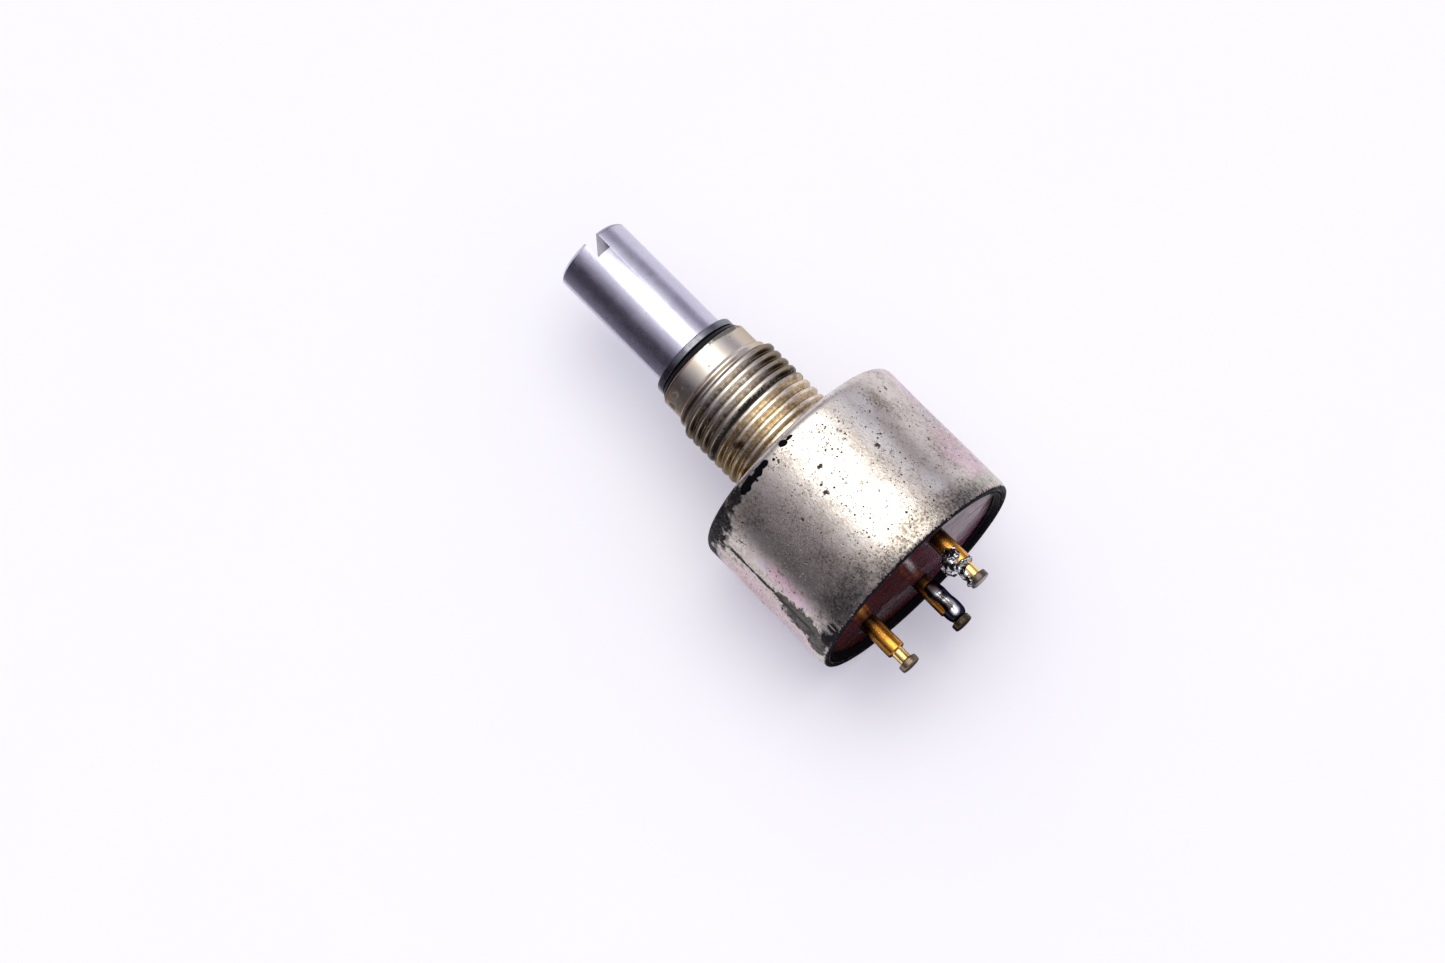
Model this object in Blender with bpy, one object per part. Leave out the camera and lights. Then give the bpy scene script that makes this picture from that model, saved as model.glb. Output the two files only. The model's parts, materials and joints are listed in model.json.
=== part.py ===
# Sealed panel potentiometer: steel can, threaded bushing, slotted shaft and three turret terminals.
# Metres, +Z up. The shaft turns about the X axis and points along +X.
# The origin lies on that axis, in the plane where the can's front seats on its panel.

import math

import bmesh
import bpy

MM = 0.001
INCH = 0.0254

# Clearances, close ones because the walls and the solder coat are well under a millimetre thick
SEAT_GAP = 0.05 * MM
RUNNING_GAP = 0.06 * MM
CUT_PAST = 0.3 * MM
JOIN_OVERLAP = 0.2 * MM

# Can
CAN_DIAMETER = 0.75 * INCH
CAN_LENGTH = 13.2 * MM
CAN_WALL = 0.5 * MM
CAN_CORNER = 0.8 * MM
RIM_TURN_IN = 0.25 * MM
RIM_TURN_LENGTH = 0.8 * MM

# Threaded bushing
THREAD_DIAMETER = 9.45 * MM
THREAD_PITCH = INCH / 32
THREAD_DEPTH = 0.38 * MM
THREAD_CREST = 0.22 * MM
THREAD_ROOT = 0.08 * MM
THREAD_START = 95
THREAD_FADE_TURNS = 0.35
BUSHING_REACH = 10.1 * MM
BUSHING_LAND = 0.3 * MM
NECK_LENGTH = 2.1 * MM
NECK_WALL = 0.87 * MM
NECK_CHAMFER = 0.12 * MM
FLANGE_THICKNESS = 1.0 * MM
FLANGE_TO_LINER = 0.9 * MM

# Shaft
SHAFT_DIAMETER = 0.25 * INCH
SHAFT_REACH = 22.6 * MM
TIP_CHAMFER = 0.25 * MM
SLOT_WIDTH = 3 / 64 * INCH
SLOT_DEPTH = 1 / 16 * INCH
COLLAR_STEP = 0.45 * MM
COLLAR_THICKNESS = 0.8 * MM
TANG_DIAMETER = 4.0 * MM
TANG_FLATS = 3.0 * MM
TANG_TAIL = 0.3 * MM

# Rings and washers on the shaft
SEAL_THICKNESS = 0.4 * MM
SEAL_EDGE = 0.08 * MM
RING_THICKNESS = 0.6 * MM
RING_PROUD = 0.58 * MM
RING_GROOVE = 0.55 * MM
RING_OPENING = 60
O_RING_SECTION = 0.8 * MM
O_RING_INSET = 5.1 * MM
O_RING_PLAY = 0.15 * MM
WASHER_THICKNESS = 0.3 * MM
CLIP_THICKNESS = 0.4 * MM
CLIP_WIDTH = 0.9 * MM

# Contact carrier and its stop
TRAVEL = 295
REST_FROM_MIDDLE = -25
CARRIER_THICKNESS = 1.8 * MM
CARRIER_TO_LINER = 0.6 * MM
LUG_WIDTH = 1.6 * MM
PIN_DIAMETER = 1.5 * MM
PIN_EDGE = 0.5 * MM
PIN_END_GAP = 0.2 * MM

# Wiper
SPRING_THICKNESS = 0.25 * MM
SPRING_WIDTH = 3.6 * MM
SPRING_RISE = 0.8 * MM
SPRING_END = 0.25 * MM
ARM_CLEARANCE = 1.5 * MM
BRUSH_DIAMETER = 1.5 * MM
BRUSH_LENGTH = 1.2 * MM
RIVET_DIAMETER = 1.0 * MM
RIVET_HEAD = 1.5 * MM
RIVET_HEAD_THICKNESS = 0.4 * MM
RIVET_SIDE = 0.85 * MM
RIVET_INSET = 1.9 * MM
SPRING_HEEL = 1.3 * MM
SPRING_TOE = 0.5 * MM

# Terminal plate with its track, liner and seal
PLATE_RECESS = 0.55 * MM
LINER_WALL = 0.65 * MM
TRACK_TO_LINER = 0.5 * MM
TRACK_WIDTH = 1.6 * MM
TRACK_THICKNESS = 0.4 * MM
TRACK_END_GAP = 0.12 * MM
CONTACT_THICKNESS = 0.3 * MM
CONTACT_WIDTH = 2.2 * MM
COLLECTOR_WIDTH = 1.5 * MM
COLLECTOR_TO_HEAD = 0.65 * MM
HEAD_TO_TRACK = 0.25 * MM
PLATE_SEAL_SECTION = 0.9 * MM
PLATE_SEAL_PLAY = 0.1 * MM

# Terminals
WIPER_ANGLE = 115
END_SPACING = 77
SHANK_DIAMETER = 1.1 * MM
HEAD_DIAMETER = 1.8 * MM
HEAD_THICKNESS = 0.35 * MM
BARREL_DIAMETER = 1.54 * MM
BARREL_LENGTH = 3.1 * MM
TERMINAL_NECK_DIAMETER = 1.0 * MM
TERMINAL_NECK_LENGTH = 1.05 * MM
CROWN_DIAMETER = 1.6 * MM
CROWN_LENGTH = 0.55 * MM
CROWN_EDGE = 0.12 * MM

# Old solder
LUMP_RADIUS = 0.82 * MM
LUMP_LENGTH = 0.95 * MM
LUMP_OFFSET = 0.5 * MM
LUMP_ANGLE = 10
LUMP_PLACE = 1.85 * MM
COAT_THICKNESS = 0.26 * MM
COAT_OFFSET = 0.1 * MM
COAT_ANGLE = 100
COAT_BASE_GAP = 0.65 * MM
COAT_CROWN_GAP = 0.08 * MM

COAT_FULLNESS = 0.4

# Facets round a turned piece, and how they are joined and shaded
CASE_STEPS = 48
SHAFT_STEPS = 36
SMALL_STEPS = 16
ARC_STEPS = 4
O_RING_SIDES = 6
MERGE_DISTANCE = 0.0001 * MM
SMOOTH_BELOW = 35

# Radii, from the outside of the can inwards
can_radius = CAN_DIAMETER / 2
can_inside = can_radius - CAN_WALL
liner_radius = can_inside - SEAT_GAP
liner_inside = liner_radius - LINER_WALL
flange_radius = liner_inside - FLANGE_TO_LINER
carrier_radius = liner_inside - CARRIER_TO_LINER
stop_radius = flange_radius - PIN_EDGE - PIN_DIAMETER / 2
track_outside = liner_inside - TRACK_TO_LINER
track_inside = track_outside - TRACK_WIDTH
track_middle = track_outside - TRACK_WIDTH / 2
terminal_circle = track_inside - HEAD_TO_TRACK - HEAD_DIAMETER / 2
collector_outside = terminal_circle - HEAD_DIAMETER / 2 - COLLECTOR_TO_HEAD
collector_middle = collector_outside - COLLECTOR_WIDTH / 2
rivet_radius = carrier_radius - RIVET_INSET

# Radii, from the shaft outwards
shaft_radius = SHAFT_DIAMETER / 2
bore_radius = shaft_radius + RUNNING_GAP
neck_radius = bore_radius + NECK_WALL
thread_radius = THREAD_DIAMETER / 2
root_radius = thread_radius - THREAD_DEPTH
collar_radius = shaft_radius + COLLAR_STEP
tang_radius = TANG_DIAMETER / 2
ring_radius = shaft_radius + RING_PROUD
groove_radius = shaft_radius - RING_GROOVE

# Places along the shaft, from the front of the bushing backwards
thread_front = BUSHING_REACH - NECK_LENGTH
seal_back = BUSHING_REACH + SEAT_GAP
seal_front = seal_back + SEAL_THICKNESS
ring_back = seal_front + RUNNING_GAP
ring_front = ring_back + RING_THICKNESS
o_ring_place = BUSHING_REACH - O_RING_INSET

# Places inside the can, from its front wall backwards
flange_front = -CAN_WALL - SEAT_GAP
flange_back = flange_front - FLANGE_THICKNESS
washer_front = flange_back - RUNNING_GAP
washer_back = washer_front - WASHER_THICKNESS
collar_front = washer_back - RUNNING_GAP
collar_back = collar_front - COLLAR_THICKNESS
carrier_front = collar_back - SEAT_GAP
carrier_back = carrier_front - CARRIER_THICKNESS
clip_front = carrier_back - SEAT_GAP
clip_back = clip_front - CLIP_THICKNESS
shaft_end = clip_back - TANG_TAIL
leg_front = carrier_back - SEAT_GAP
leg_back = leg_front - SPRING_THICKNESS
arm_front = shaft_end - ARM_CLEARANCE
arm_back = arm_front - SPRING_THICKNESS
brush_front = arm_back - SEAT_GAP
brush_back = brush_front - BRUSH_LENGTH
track_front = brush_back - RUNNING_GAP
plate_front = track_front - TRACK_THICKNESS - SEAT_GAP
plate_back = PLATE_RECESS - CAN_LENGTH
rim_start = RIM_TURN_LENGTH - CAN_LENGTH
plate_seal_place = (plate_front + rim_start) / 2
contact_back = plate_front + SEAT_GAP
contact_front = contact_back + CONTACT_THICKNESS
head_back = contact_front + SEAT_GAP
head_front = head_back + HEAD_THICKNESS
barrel_front = plate_back - SEAT_GAP
barrel_back = barrel_front - BARREL_LENGTH
crown_front = barrel_back - TERMINAL_NECK_LENGTH
crown_back = crown_front - CROWN_LENGTH

# Angles about +X, from +Y towards +Z
rest_angle = WIPER_ANGLE + REST_FROM_MIDDLE
stop_angle = WIPER_ANGLE + 180
end_angles = {"a": stop_angle - END_SPACING / 2, "b": stop_angle + END_SPACING / 2}


def finish(name, colour, metallic, roughness):
    made = bpy.data.materials.new(name)
    made.use_nodes = True
    shader = made.node_tree.nodes["Principled BSDF"]
    shader.inputs["Base Color"].default_value = (*colour, 1)
    shader.inputs["Metallic"].default_value = metallic
    shader.inputs["Roughness"].default_value = roughness
    return made


def around(radius, degrees, x=0):
    """A point at this radius and angle about the X axis."""
    turn = math.radians(degrees)
    return (x, radius * math.cos(turn), radius * math.sin(turn))


def placed(name, bm, look, parent=None, location=(0, 0, 0), turn=0):
    """Makes an object of a closed mesh, with its faces pointing out."""
    bmesh.ops.recalc_face_normals(bm, faces=bm.faces)
    mesh = bpy.data.meshes.new(name)
    bm.to_mesh(mesh)
    bm.free()
    mesh.shade_smooth()
    mesh.set_sharp_from_angle(angle=math.radians(SMOOTH_BELOW))
    mesh.materials.append(look)
    made = bpy.data.objects.new(name, mesh)
    made.parent = parent
    made.location = location
    made.rotation_euler = (math.radians(turn), 0, 0)
    bpy.context.scene.collection.objects.link(made)
    return made


def tool(made):
    """Keeps an object as a cutter or an addition for a Boolean."""
    made.hide_render = True
    made.display_type = "WIRE"
    return made


def combine(target, other, operation):
    step = target.modifiers.new(other.name, "BOOLEAN")
    step.operation = operation
    step.object = tool(other)


def arc(x, r, radius, first, last, steps=ARC_STEPS):
    """Points (x, r) on an arc, with angles in degrees from +x towards +r."""
    turns = (math.radians(first + (last - first) * i / steps) for i in range(steps + 1))
    return [(x + radius * math.cos(t), r + radius * math.sin(t)) for t in turns]


def turned(name, outline, look, steps, degrees=360, **place):
    """Spins an outline of (x, r) about the X axis. One that starts and ends on the axis is left open."""
    bm = bmesh.new()
    whole = degrees == 360
    points = [bm.verts.new((x, r, 0)) for x, r in outline]
    on_axis = outline[0][1] == 0 and outline[-1][1] == 0
    edges = [bm.edges.new(pair) for pair in zip(points, points[1:])]
    if not on_axis:
        edges.append(bm.edges.new((points[-1], points[0])))
    start = points + edges
    if not whole:
        start.append(bm.faces.new(points))
    bmesh.ops.spin(
        bm,
        geom=start,
        cent=(0, 0, 0),
        axis=(1, 0, 0),
        angle=math.radians(degrees),
        steps=steps,
    )
    bmesh.ops.remove_doubles(bm, verts=bm.verts, dist=MERGE_DISTANCE)
    return placed(name, bm, look, **place)


def extruded(name, outline, low, high, look, **place):
    """A prism along X over an outline of (y, z)."""
    bm = bmesh.new()
    face = bm.faces.new([bm.verts.new((low, y, z)) for y, z in outline])
    grown = bmesh.ops.extrude_face_region(bm, geom=[face])
    moved = [item for item in grown["geom"] if isinstance(item, bmesh.types.BMVert)]
    bmesh.ops.translate(bm, verts=moved, vec=(high - low, 0, 0))
    return placed(name, bm, look, **place)


def box_outline(low_y, high_y, low_z, high_z):
    return [(low_y, low_z), (high_y, low_z), (high_y, high_z), (low_y, high_z)]


def sector(inside, outside, first, last, steps):
    """An outline of (y, z) between two radii and two angles."""
    turns = [first + (last - first) * i / steps for i in range(steps + 1)]
    inner = [around(inside, t)[1:] for t in turns]
    outer = [around(outside, t)[1:] for t in reversed(turns)]
    return inner + outer


def tube(name, front, back, outside, inside, look, steps, **place):
    section = [(front, inside), (front, outside), (back, outside), (back, inside)]
    return turned(name, section, look, steps, **place)


def rod(name, front, back, radius, look, steps, **place):
    half_section = [(front, 0), (front, radius), (back, radius), (back, 0)]
    return turned(name, half_section, look, steps, **place)


def o_ring(name, x, middle, section, look, steps, **place):
    last = 360 - 360 / O_RING_SIDES
    return turned(name, arc(x, middle, section / 2, 0, last, O_RING_SIDES - 1), look, steps, **place)


def rim_drop(x):
    """How far the rolled rim has come towards the axis at this place."""
    along = min(max((rim_start - x) / RIM_TURN_LENGTH, 0), 1)
    return RIM_TURN_IN * (1 - math.sqrt(1 - along**2))


def build_can(look):
    rolled = [rim_start - RIM_TURN_LENGTH * i / ARC_STEPS for i in range(ARC_STEPS + 1)]
    hole = thread_radius + SEAT_GAP
    outline = [(0, hole)]
    outline += arc(-CAN_CORNER, can_radius - CAN_CORNER, CAN_CORNER, 0, 90)
    outline += [(x, can_radius - rim_drop(x)) for x in rolled]
    outline += [(x, can_inside - rim_drop(x)) for x in reversed(rolled)]
    inner_corner = max(CAN_CORNER - CAN_WALL, SEAT_GAP)
    outline += [(-CAN_WALL - inner_corner, can_inside), (-CAN_WALL, can_inside - inner_corner)]
    outline += [(-CAN_WALL, hole)]
    return turned("housing_can", outline, look, CASE_STEPS)


def build_bushing(look):
    """Turned rings with a right-hand thread: its rows run one pitch back for each turn."""
    bm = bmesh.new()
    flank = (THREAD_PITCH - THREAD_CREST - THREAD_ROOT) / 2
    row_places = [0, flank, flank + THREAD_CREST, THREAD_PITCH - THREAD_ROOT]
    crest_rows = (1, 2)
    per_turn = len(row_places)
    turns = int((thread_front - BUSHING_LAND - THREAD_DEPTH) / THREAD_PITCH) - 1
    thread_back = thread_front - (turns + 1) * THREAD_PITCH
    columns = SHAFT_STEPS

    def point(x, r, column):
        return bm.verts.new(around(r, THREAD_START - 360 * column / columns, x))

    def ring(x, r):
        return [point(x, r, column) for column in range(columns)]

    def bridge(first, second):
        for i in range(columns):
            after = (i + 1) % columns
            bm.faces.new((first[i], first[after], second[after], second[i]))

    def thread_point(row, column):
        turn = row // per_turn + column / columns
        height = min(turn, turns - turn) / THREAD_FADE_TURNS if row % per_turn in crest_rows else 0
        back = turn * THREAD_PITCH + row_places[row % per_turn]
        return point(thread_front - back, root_radius + THREAD_DEPTH * min(max(height, 0), 1), column)

    front = ring(thread_front, root_radius)
    back = ring(thread_back, root_radius)
    last = per_turn * turns
    rows = [[thread_point(row, column) for column in range(columns)] for row in range(1, last + 1)]
    rows.insert(0, [front[0]] + [thread_point(0, column) for column in range(1, columns)])
    seam = [thread_point(row, columns) for row in range(last - per_turn + 1, last)] + [back[0]]

    def at(row, column):
        if column < columns:
            return rows[row][column]
        if row + per_turn <= last:
            return rows[row + per_turn][0]
        return seam[row + per_turn - last - 1]

    for row in range(last):
        for i in range(columns):
            bm.faces.new((at(row, i), at(row, i + 1), at(row + 1, i + 1), at(row + 1, i)))

    # The wedges between the thread's ends and the plain rings, and the steps beside them
    for i in range(1, columns - 1):
        bm.faces.new((front[i], front[i + 1], at(0, i + 1), at(0, i)))
        bm.faces.new((at(last, i), at(last, i + 1), back[i + 1], back[i]))
    bm.faces.new((front[0], front[1], at(0, 1)))
    bm.faces.new([front[-1]] + [rows[row][0] for row in range(per_turn + 1)] + [at(0, columns - 1)])
    bm.faces.new((at(last, columns - 1), back[0], back[-1]))
    bm.faces.new([at(last, 0), at(last, 1), back[1]] + seam[::-1])

    neck_back = thread_front + abs(root_radius - neck_radius)
    before = [
        ring(BUSHING_REACH, bore_radius),
        ring(BUSHING_REACH, neck_radius - NECK_CHAMFER),
        ring(BUSHING_REACH - NECK_CHAMFER, neck_radius),
        ring(neck_back, neck_radius),
        front,
    ]
    after = [
        back,
        ring(thread_back - THREAD_DEPTH, thread_radius),
        ring(flange_front, thread_radius),
        ring(flange_front, flange_radius),
        ring(flange_back, flange_radius),
        ring(flange_back, bore_radius),
    ]
    for stack in (before, after, [after[-1], before[0]]):
        for pair in zip(stack, stack[1:]):
            bridge(*pair)
    bushing = placed("threaded_bushing", bm, look)

    hole_radius = PIN_DIAMETER / 2 + SEAT_GAP
    hole = rod(
        "stop_pin_hole",
        flange_front + CUT_PAST,
        flange_back - CUT_PAST,
        hole_radius,
        look,
        SMALL_STEPS,
        location=around(stop_radius, stop_angle),
    )
    combine(bushing, hole, "DIFFERENCE")
    return bushing


def build_stop_pin(look):
    place = around(stop_radius, stop_angle)
    back = carrier_front + PIN_END_GAP
    return rod("stop_pin", flange_front, back, PIN_DIAMETER / 2, look, SMALL_STEPS, location=place)


def build_seal(look):
    inside = shaft_radius + RUNNING_GAP
    outline = [
        (seal_front, inside),
        (seal_front, ring_radius - SEAL_EDGE),
        (seal_back, neck_radius - SEAL_EDGE),
        (seal_back, inside),
    ]
    return turned("shaft_seal", outline, look, SHAFT_STEPS)


def build_shaft(look, axle):
    o_ring_half = O_RING_SECTION / 2 + O_RING_PLAY
    o_ring_bed = bore_radius - RUNNING_GAP - O_RING_SECTION - SEAT_GAP
    outline = [
        (SHAFT_REACH, 0),
        (SHAFT_REACH, shaft_radius - TIP_CHAMFER),
        (SHAFT_REACH - TIP_CHAMFER, shaft_radius),
        (ring_front + SEAT_GAP, shaft_radius),
        (ring_front + SEAT_GAP, groove_radius),
        (ring_back - SEAT_GAP, groove_radius),
        (ring_back - SEAT_GAP, shaft_radius),
        (o_ring_place + o_ring_half, shaft_radius),
        (o_ring_place + o_ring_half, o_ring_bed),
        (o_ring_place - o_ring_half, o_ring_bed),
        (o_ring_place - o_ring_half, shaft_radius),
        (collar_front, shaft_radius),
        (collar_front, collar_radius),
        (collar_back, collar_radius),
        (collar_back, tang_radius),
        (shaft_end, tang_radius),
        (shaft_end, 0),
    ]
    shaft = turned("shaft", outline, look, SHAFT_STEPS, parent=axle)
    past = shaft_radius + CUT_PAST
    slot = extruded(
        "screwdriver_slot",
        box_outline(-past, past, -SLOT_WIDTH / 2, SLOT_WIDTH / 2),
        SHAFT_REACH - SLOT_DEPTH,
        SHAFT_REACH + CUT_PAST,
        look,
        parent=axle,
    )
    combine(shaft, slot, "DIFFERENCE")
    for side in (-1, 1):
        near, far = sorted((side * TANG_FLATS / 2, side * past))
        flat = extruded(
            f"tang_flat_{'upper' if side > 0 else 'lower'}",
            box_outline(-past, past, near, far),
            shaft_end - CUT_PAST,
            collar_back - SEAT_GAP,
            look,
            parent=axle,
        )
        combine(shaft, flat, "DIFFERENCE")
    return shaft


def build_retaining_ring(look, axle):
    """A ring in the shaft's groove, open at the bottom."""
    return tube(
        "retaining_ring",
        ring_front,
        ring_back,
        ring_radius,
        groove_radius + SEAT_GAP,
        look,
        SHAFT_STEPS,
        degrees=360 - RING_OPENING,
        parent=axle,
        turn=180 + RING_OPENING / 2,
    )


def build_carrier(look, axle):
    """A phenolic disc on the shaft's flats, with the stop lug on its front face."""
    carrier = rod(
        "contact_carrier",
        carrier_front,
        carrier_back,
        carrier_radius,
        look,
        SHAFT_STEPS,
        parent=axle,
    )
    reach = math.degrees(math.asin((PIN_DIAMETER / 2 + RUNNING_GAP) / stop_radius))
    half = (360 - TRAVEL) / 2 - reach
    lug = extruded(
        "stop_lug",
        sector(stop_radius - LUG_WIDTH / 2, stop_radius + LUG_WIDTH / 2, -half, half, SMALL_STEPS),
        carrier_front - JOIN_OVERLAP,
        flange_back - PIN_END_GAP,
        look,
        parent=axle,
    )
    combine(carrier, lug, "UNION")

    bore = tang_radius + SEAT_GAP
    flat = TANG_FLATS / 2 + SEAT_GAP
    corner = math.degrees(math.asin(flat / bore))
    right = [around(bore, -corner + 2 * corner * i / SMALL_STEPS)[1:] for i in range(SMALL_STEPS + 1)]
    left = [(-y, -z) for y, z in right]
    hole = extruded(
        "tang_hole",
        right + left,
        carrier_back - CUT_PAST,
        carrier_front + CUT_PAST,
        look,
        parent=axle,
    )
    combine(carrier, hole, "DIFFERENCE")
    for side, place in rivet_places().items():
        combine(carrier, rivet(f"rivet_hole_{side}", look, axle, place, SEAT_GAP), "DIFFERENCE")
    return carrier


def rivet_places():
    across = SPRING_WIDTH / 2 - RIVET_SIDE
    return {"a": (0, -rivet_radius, -across), "b": (0, -rivet_radius, across)}


def rivet(name, look, axle, place, grow=0):
    """A rivet through carrier and spring, its front head flush. Grown, it is the hole that it fits."""
    front = carrier_front - SEAT_GAP + (grow and SEAT_GAP + CUT_PAST)
    step = carrier_front - SEAT_GAP - RIVET_HEAD_THICKNESS - grow
    head, shank = RIVET_HEAD / 2 + grow, RIVET_DIAMETER / 2 + grow
    outline = [(front, 0), (front, head), (step, head), (step, shank)]
    if grow:
        outline += [(leg_back - CUT_PAST, shank), (leg_back - CUT_PAST, 0)]
    else:
        back = leg_back - SEAT_GAP
        end = back - RIVET_HEAD_THICKNESS
        outline += [(back, shank), (back, head), (end, head), (end, 0)]
    return turned(name, outline, look, SMALL_STEPS, parent=axle, location=place)


def build_wiper_spring(look, axle):
    """A strip bent in a Z: its leg lies on the carrier, its arm runs past the shaft's end to the track."""
    heel = SPRING_HEEL - rivet_radius
    line = [
        (leg_front - SPRING_THICKNESS / 2, SPRING_TOE - carrier_radius),
        (leg_front - SPRING_THICKNESS / 2, heel),
        (arm_front - SPRING_THICKNESS / 2, heel + SPRING_RISE),
        (arm_front - SPRING_THICKNESS / 2, track_middle + BRUSH_DIAMETER / 2 + SPRING_END),
    ]
    bm = bmesh.new()
    edges = [[bm.verts.new((x, y, side * SPRING_WIDTH / 2)) for x, y in line] for side in (-1, 1)]
    for i in range(len(line) - 1):
        bm.faces.new((edges[0][i], edges[0][i + 1], edges[1][i + 1], edges[1][i]))
    spring = placed("wiper_spring", bm, look, parent=axle)
    sheet = spring.modifiers.new("sheet", "SOLIDIFY")
    sheet.thickness = SPRING_THICKNESS
    sheet.offset = 0
    sheet.use_even_offset = True
    for side, place in rivet_places().items():
        hole = rod(
            f"spring_hole_{side}",
            leg_front + CUT_PAST,
            leg_back - CUT_PAST,
            RIVET_DIAMETER / 2 + SEAT_GAP,
            look,
            SMALL_STEPS,
            parent=axle,
            location=place,
        )
        combine(spring, hole, "DIFFERENCE")
    return spring


def build_plate(look):
    """The rear plate: a seal groove round its edge, and its back set in behind the rolled rim."""
    edge = can_inside - SEAT_GAP
    drawn_in = can_inside - rim_drop(plate_back) - SEAT_GAP
    shoulder = max(rim_start, plate_back + SEAT_GAP)
    groove_bed = edge - PLATE_SEAL_SECTION - SEAT_GAP
    groove_half = PLATE_SEAL_SECTION / 2 + PLATE_SEAL_PLAY
    outline = [
        (plate_front, 0),
        (plate_front, edge),
        (plate_seal_place + groove_half, edge),
        (plate_seal_place + groove_half, groove_bed),
        (plate_seal_place - groove_half, groove_bed),
        (plate_seal_place - groove_half, edge),
        (shoulder, edge),
        (plate_back, drawn_in),
        (plate_back, 0),
    ]
    plate = turned("terminal_plate", outline, look, CASE_STEPS)
    for side, angle in {"wiper": WIPER_ANGLE, **end_angles}.items():
        hole = rod(
            f"terminal_hole_{side}",
            plate_front + CUT_PAST,
            plate_back - CUT_PAST,
            SHANK_DIAMETER / 2 + SEAT_GAP,
            look,
            SMALL_STEPS,
            location=around(terminal_circle, angle),
        )
        combine(plate, hole, "DIFFERENCE")
    return plate


def build_plate_seal(look):
    radius = can_inside - 2 * SEAT_GAP - PLATE_SEAL_SECTION / 2
    return o_ring("plate_seal", plate_seal_place, radius, PLATE_SEAL_SECTION, look, CASE_STEPS)


def build_liner(look):
    front = -max(CAN_CORNER, CAN_WALL + SEAT_GAP) - SEAT_GAP
    back = plate_front + SEAT_GAP
    return tube("liner_sleeve", front, back, liner_radius, liner_inside, look, CASE_STEPS)


def build_track(look):
    """The resistance element, a horseshoe that ends beside the two end contacts."""
    aside = math.degrees(math.asin((CONTACT_WIDTH / 2 + TRACK_END_GAP) / track_inside))
    half = 180 - END_SPACING / 2 - aside
    shape = sector(track_inside, track_outside, WIPER_ANGLE - half, WIPER_ANGLE + half, CASE_STEPS)
    return extruded("resistance_track", shape, contact_back, track_front, look)


def shank_hole(name, look, angle):
    return rod(
        name,
        contact_front + CUT_PAST,
        contact_back - CUT_PAST,
        SHANK_DIAMETER / 2 + SEAT_GAP,
        look,
        SMALL_STEPS,
        location=around(terminal_circle, angle),
    )


def build_end_contact(side, angle, look):
    """A strip from under the terminal's head out to the end of the track."""
    half = CONTACT_WIDTH / 2
    round_end = [(terminal_circle + half * math.cos(t), half * math.sin(t)) for t in round_turns()]
    shape = [(track_outside, -half), (track_outside, half)] + round_end
    contact = extruded(f"end_contact_{side}", shape, contact_back, contact_front, look, turn=angle)
    combine(contact, shank_hole(f"end_contact_hole_{side}", look, angle), "DIFFERENCE")
    return contact


def round_turns():
    return [math.radians(90 + 180 * i / SMALL_STEPS) for i in range(SMALL_STEPS + 1)]


def build_collector(look):
    """The ring that the inner brush runs on, with a tab under the wiper terminal's head."""
    inside = collector_outside - COLLECTOR_WIDTH
    ring = tube("collector_ring", contact_front, contact_back, collector_outside, inside, look, SHAFT_STEPS)
    half = HEAD_DIAMETER / 2
    round_end = [(terminal_circle - half * math.cos(t), -half * math.sin(t)) for t in round_turns()]
    shape = [(collector_middle, half), (collector_middle, -half)] + round_end
    tab = extruded("collector_tab", shape, contact_back, contact_front, look, turn=WIPER_ANGLE)
    combine(ring, tab, "UNION")
    combine(ring, shank_hole("collector_tab_hole", look, WIPER_ANGLE), "DIFFERENCE")
    return ring


def build_terminal(name, angle, look):
    """A turret: peened head inside, shank through the plate, barrel, neck and crown outside."""
    crown = CROWN_DIAMETER / 2
    outline = [
        (head_front, 0),
        (head_front, HEAD_DIAMETER / 2 - CROWN_EDGE),
        (head_front - CROWN_EDGE, HEAD_DIAMETER / 2),
        (head_back, HEAD_DIAMETER / 2),
        (head_back, SHANK_DIAMETER / 2),
        (barrel_front, SHANK_DIAMETER / 2),
        (barrel_front, BARREL_DIAMETER / 2),
        (barrel_back, BARREL_DIAMETER / 2),
        (barrel_back, TERMINAL_NECK_DIAMETER / 2),
        (crown_front, TERMINAL_NECK_DIAMETER / 2),
        (crown_front, crown),
        (crown_back + CROWN_EDGE, crown),
        (crown_back, crown - CROWN_EDGE),
        (crown_back, 0),
    ]
    return turned(name, outline, look, SMALL_STEPS, location=around(terminal_circle, angle))


def terminal_room(name, angle, look):
    """The space that a terminal's barrel and neck take up in the solder round it."""
    barrel = BARREL_DIAMETER / 2 + SEAT_GAP
    neck = TERMINAL_NECK_DIAMETER / 2 + SEAT_GAP
    outline = [
        (barrel_front + CUT_PAST, 0),
        (barrel_front + CUT_PAST, barrel),
        (barrel_back - SEAT_GAP, barrel),
        (barrel_back - SEAT_GAP, neck),
        (crown_back, neck),
        (crown_back, 0),
    ]
    return turned(name, outline, look, SMALL_STEPS, location=around(terminal_circle, angle))


def build_wiper_solder(look):
    """A rough lump that hangs on one side of the wiper terminal's barrel."""
    centre_x = barrel_front - LUMP_PLACE
    y, z = around(terminal_circle, WIPER_ANGLE)[1:]
    aside = around(LUMP_OFFSET, LUMP_ANGLE)
    outline = [(LUMP_LENGTH * math.cos(t), LUMP_RADIUS * math.sin(t)) for t in lump_turns()]
    outline[0], outline[-1] = (LUMP_LENGTH, 0), (-LUMP_LENGTH, 0)
    place = (centre_x, y + aside[1], z + aside[2])
    lump = turned("wiper_solder", outline, look, SMALL_STEPS, location=place)
    combine(lump, terminal_room("wiper_solder_room", WIPER_ANGLE, look), "DIFFERENCE")
    return lump


def lump_turns():
    return [math.pi * i / SMALL_STEPS for i in range(SMALL_STEPS + 1)]


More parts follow.
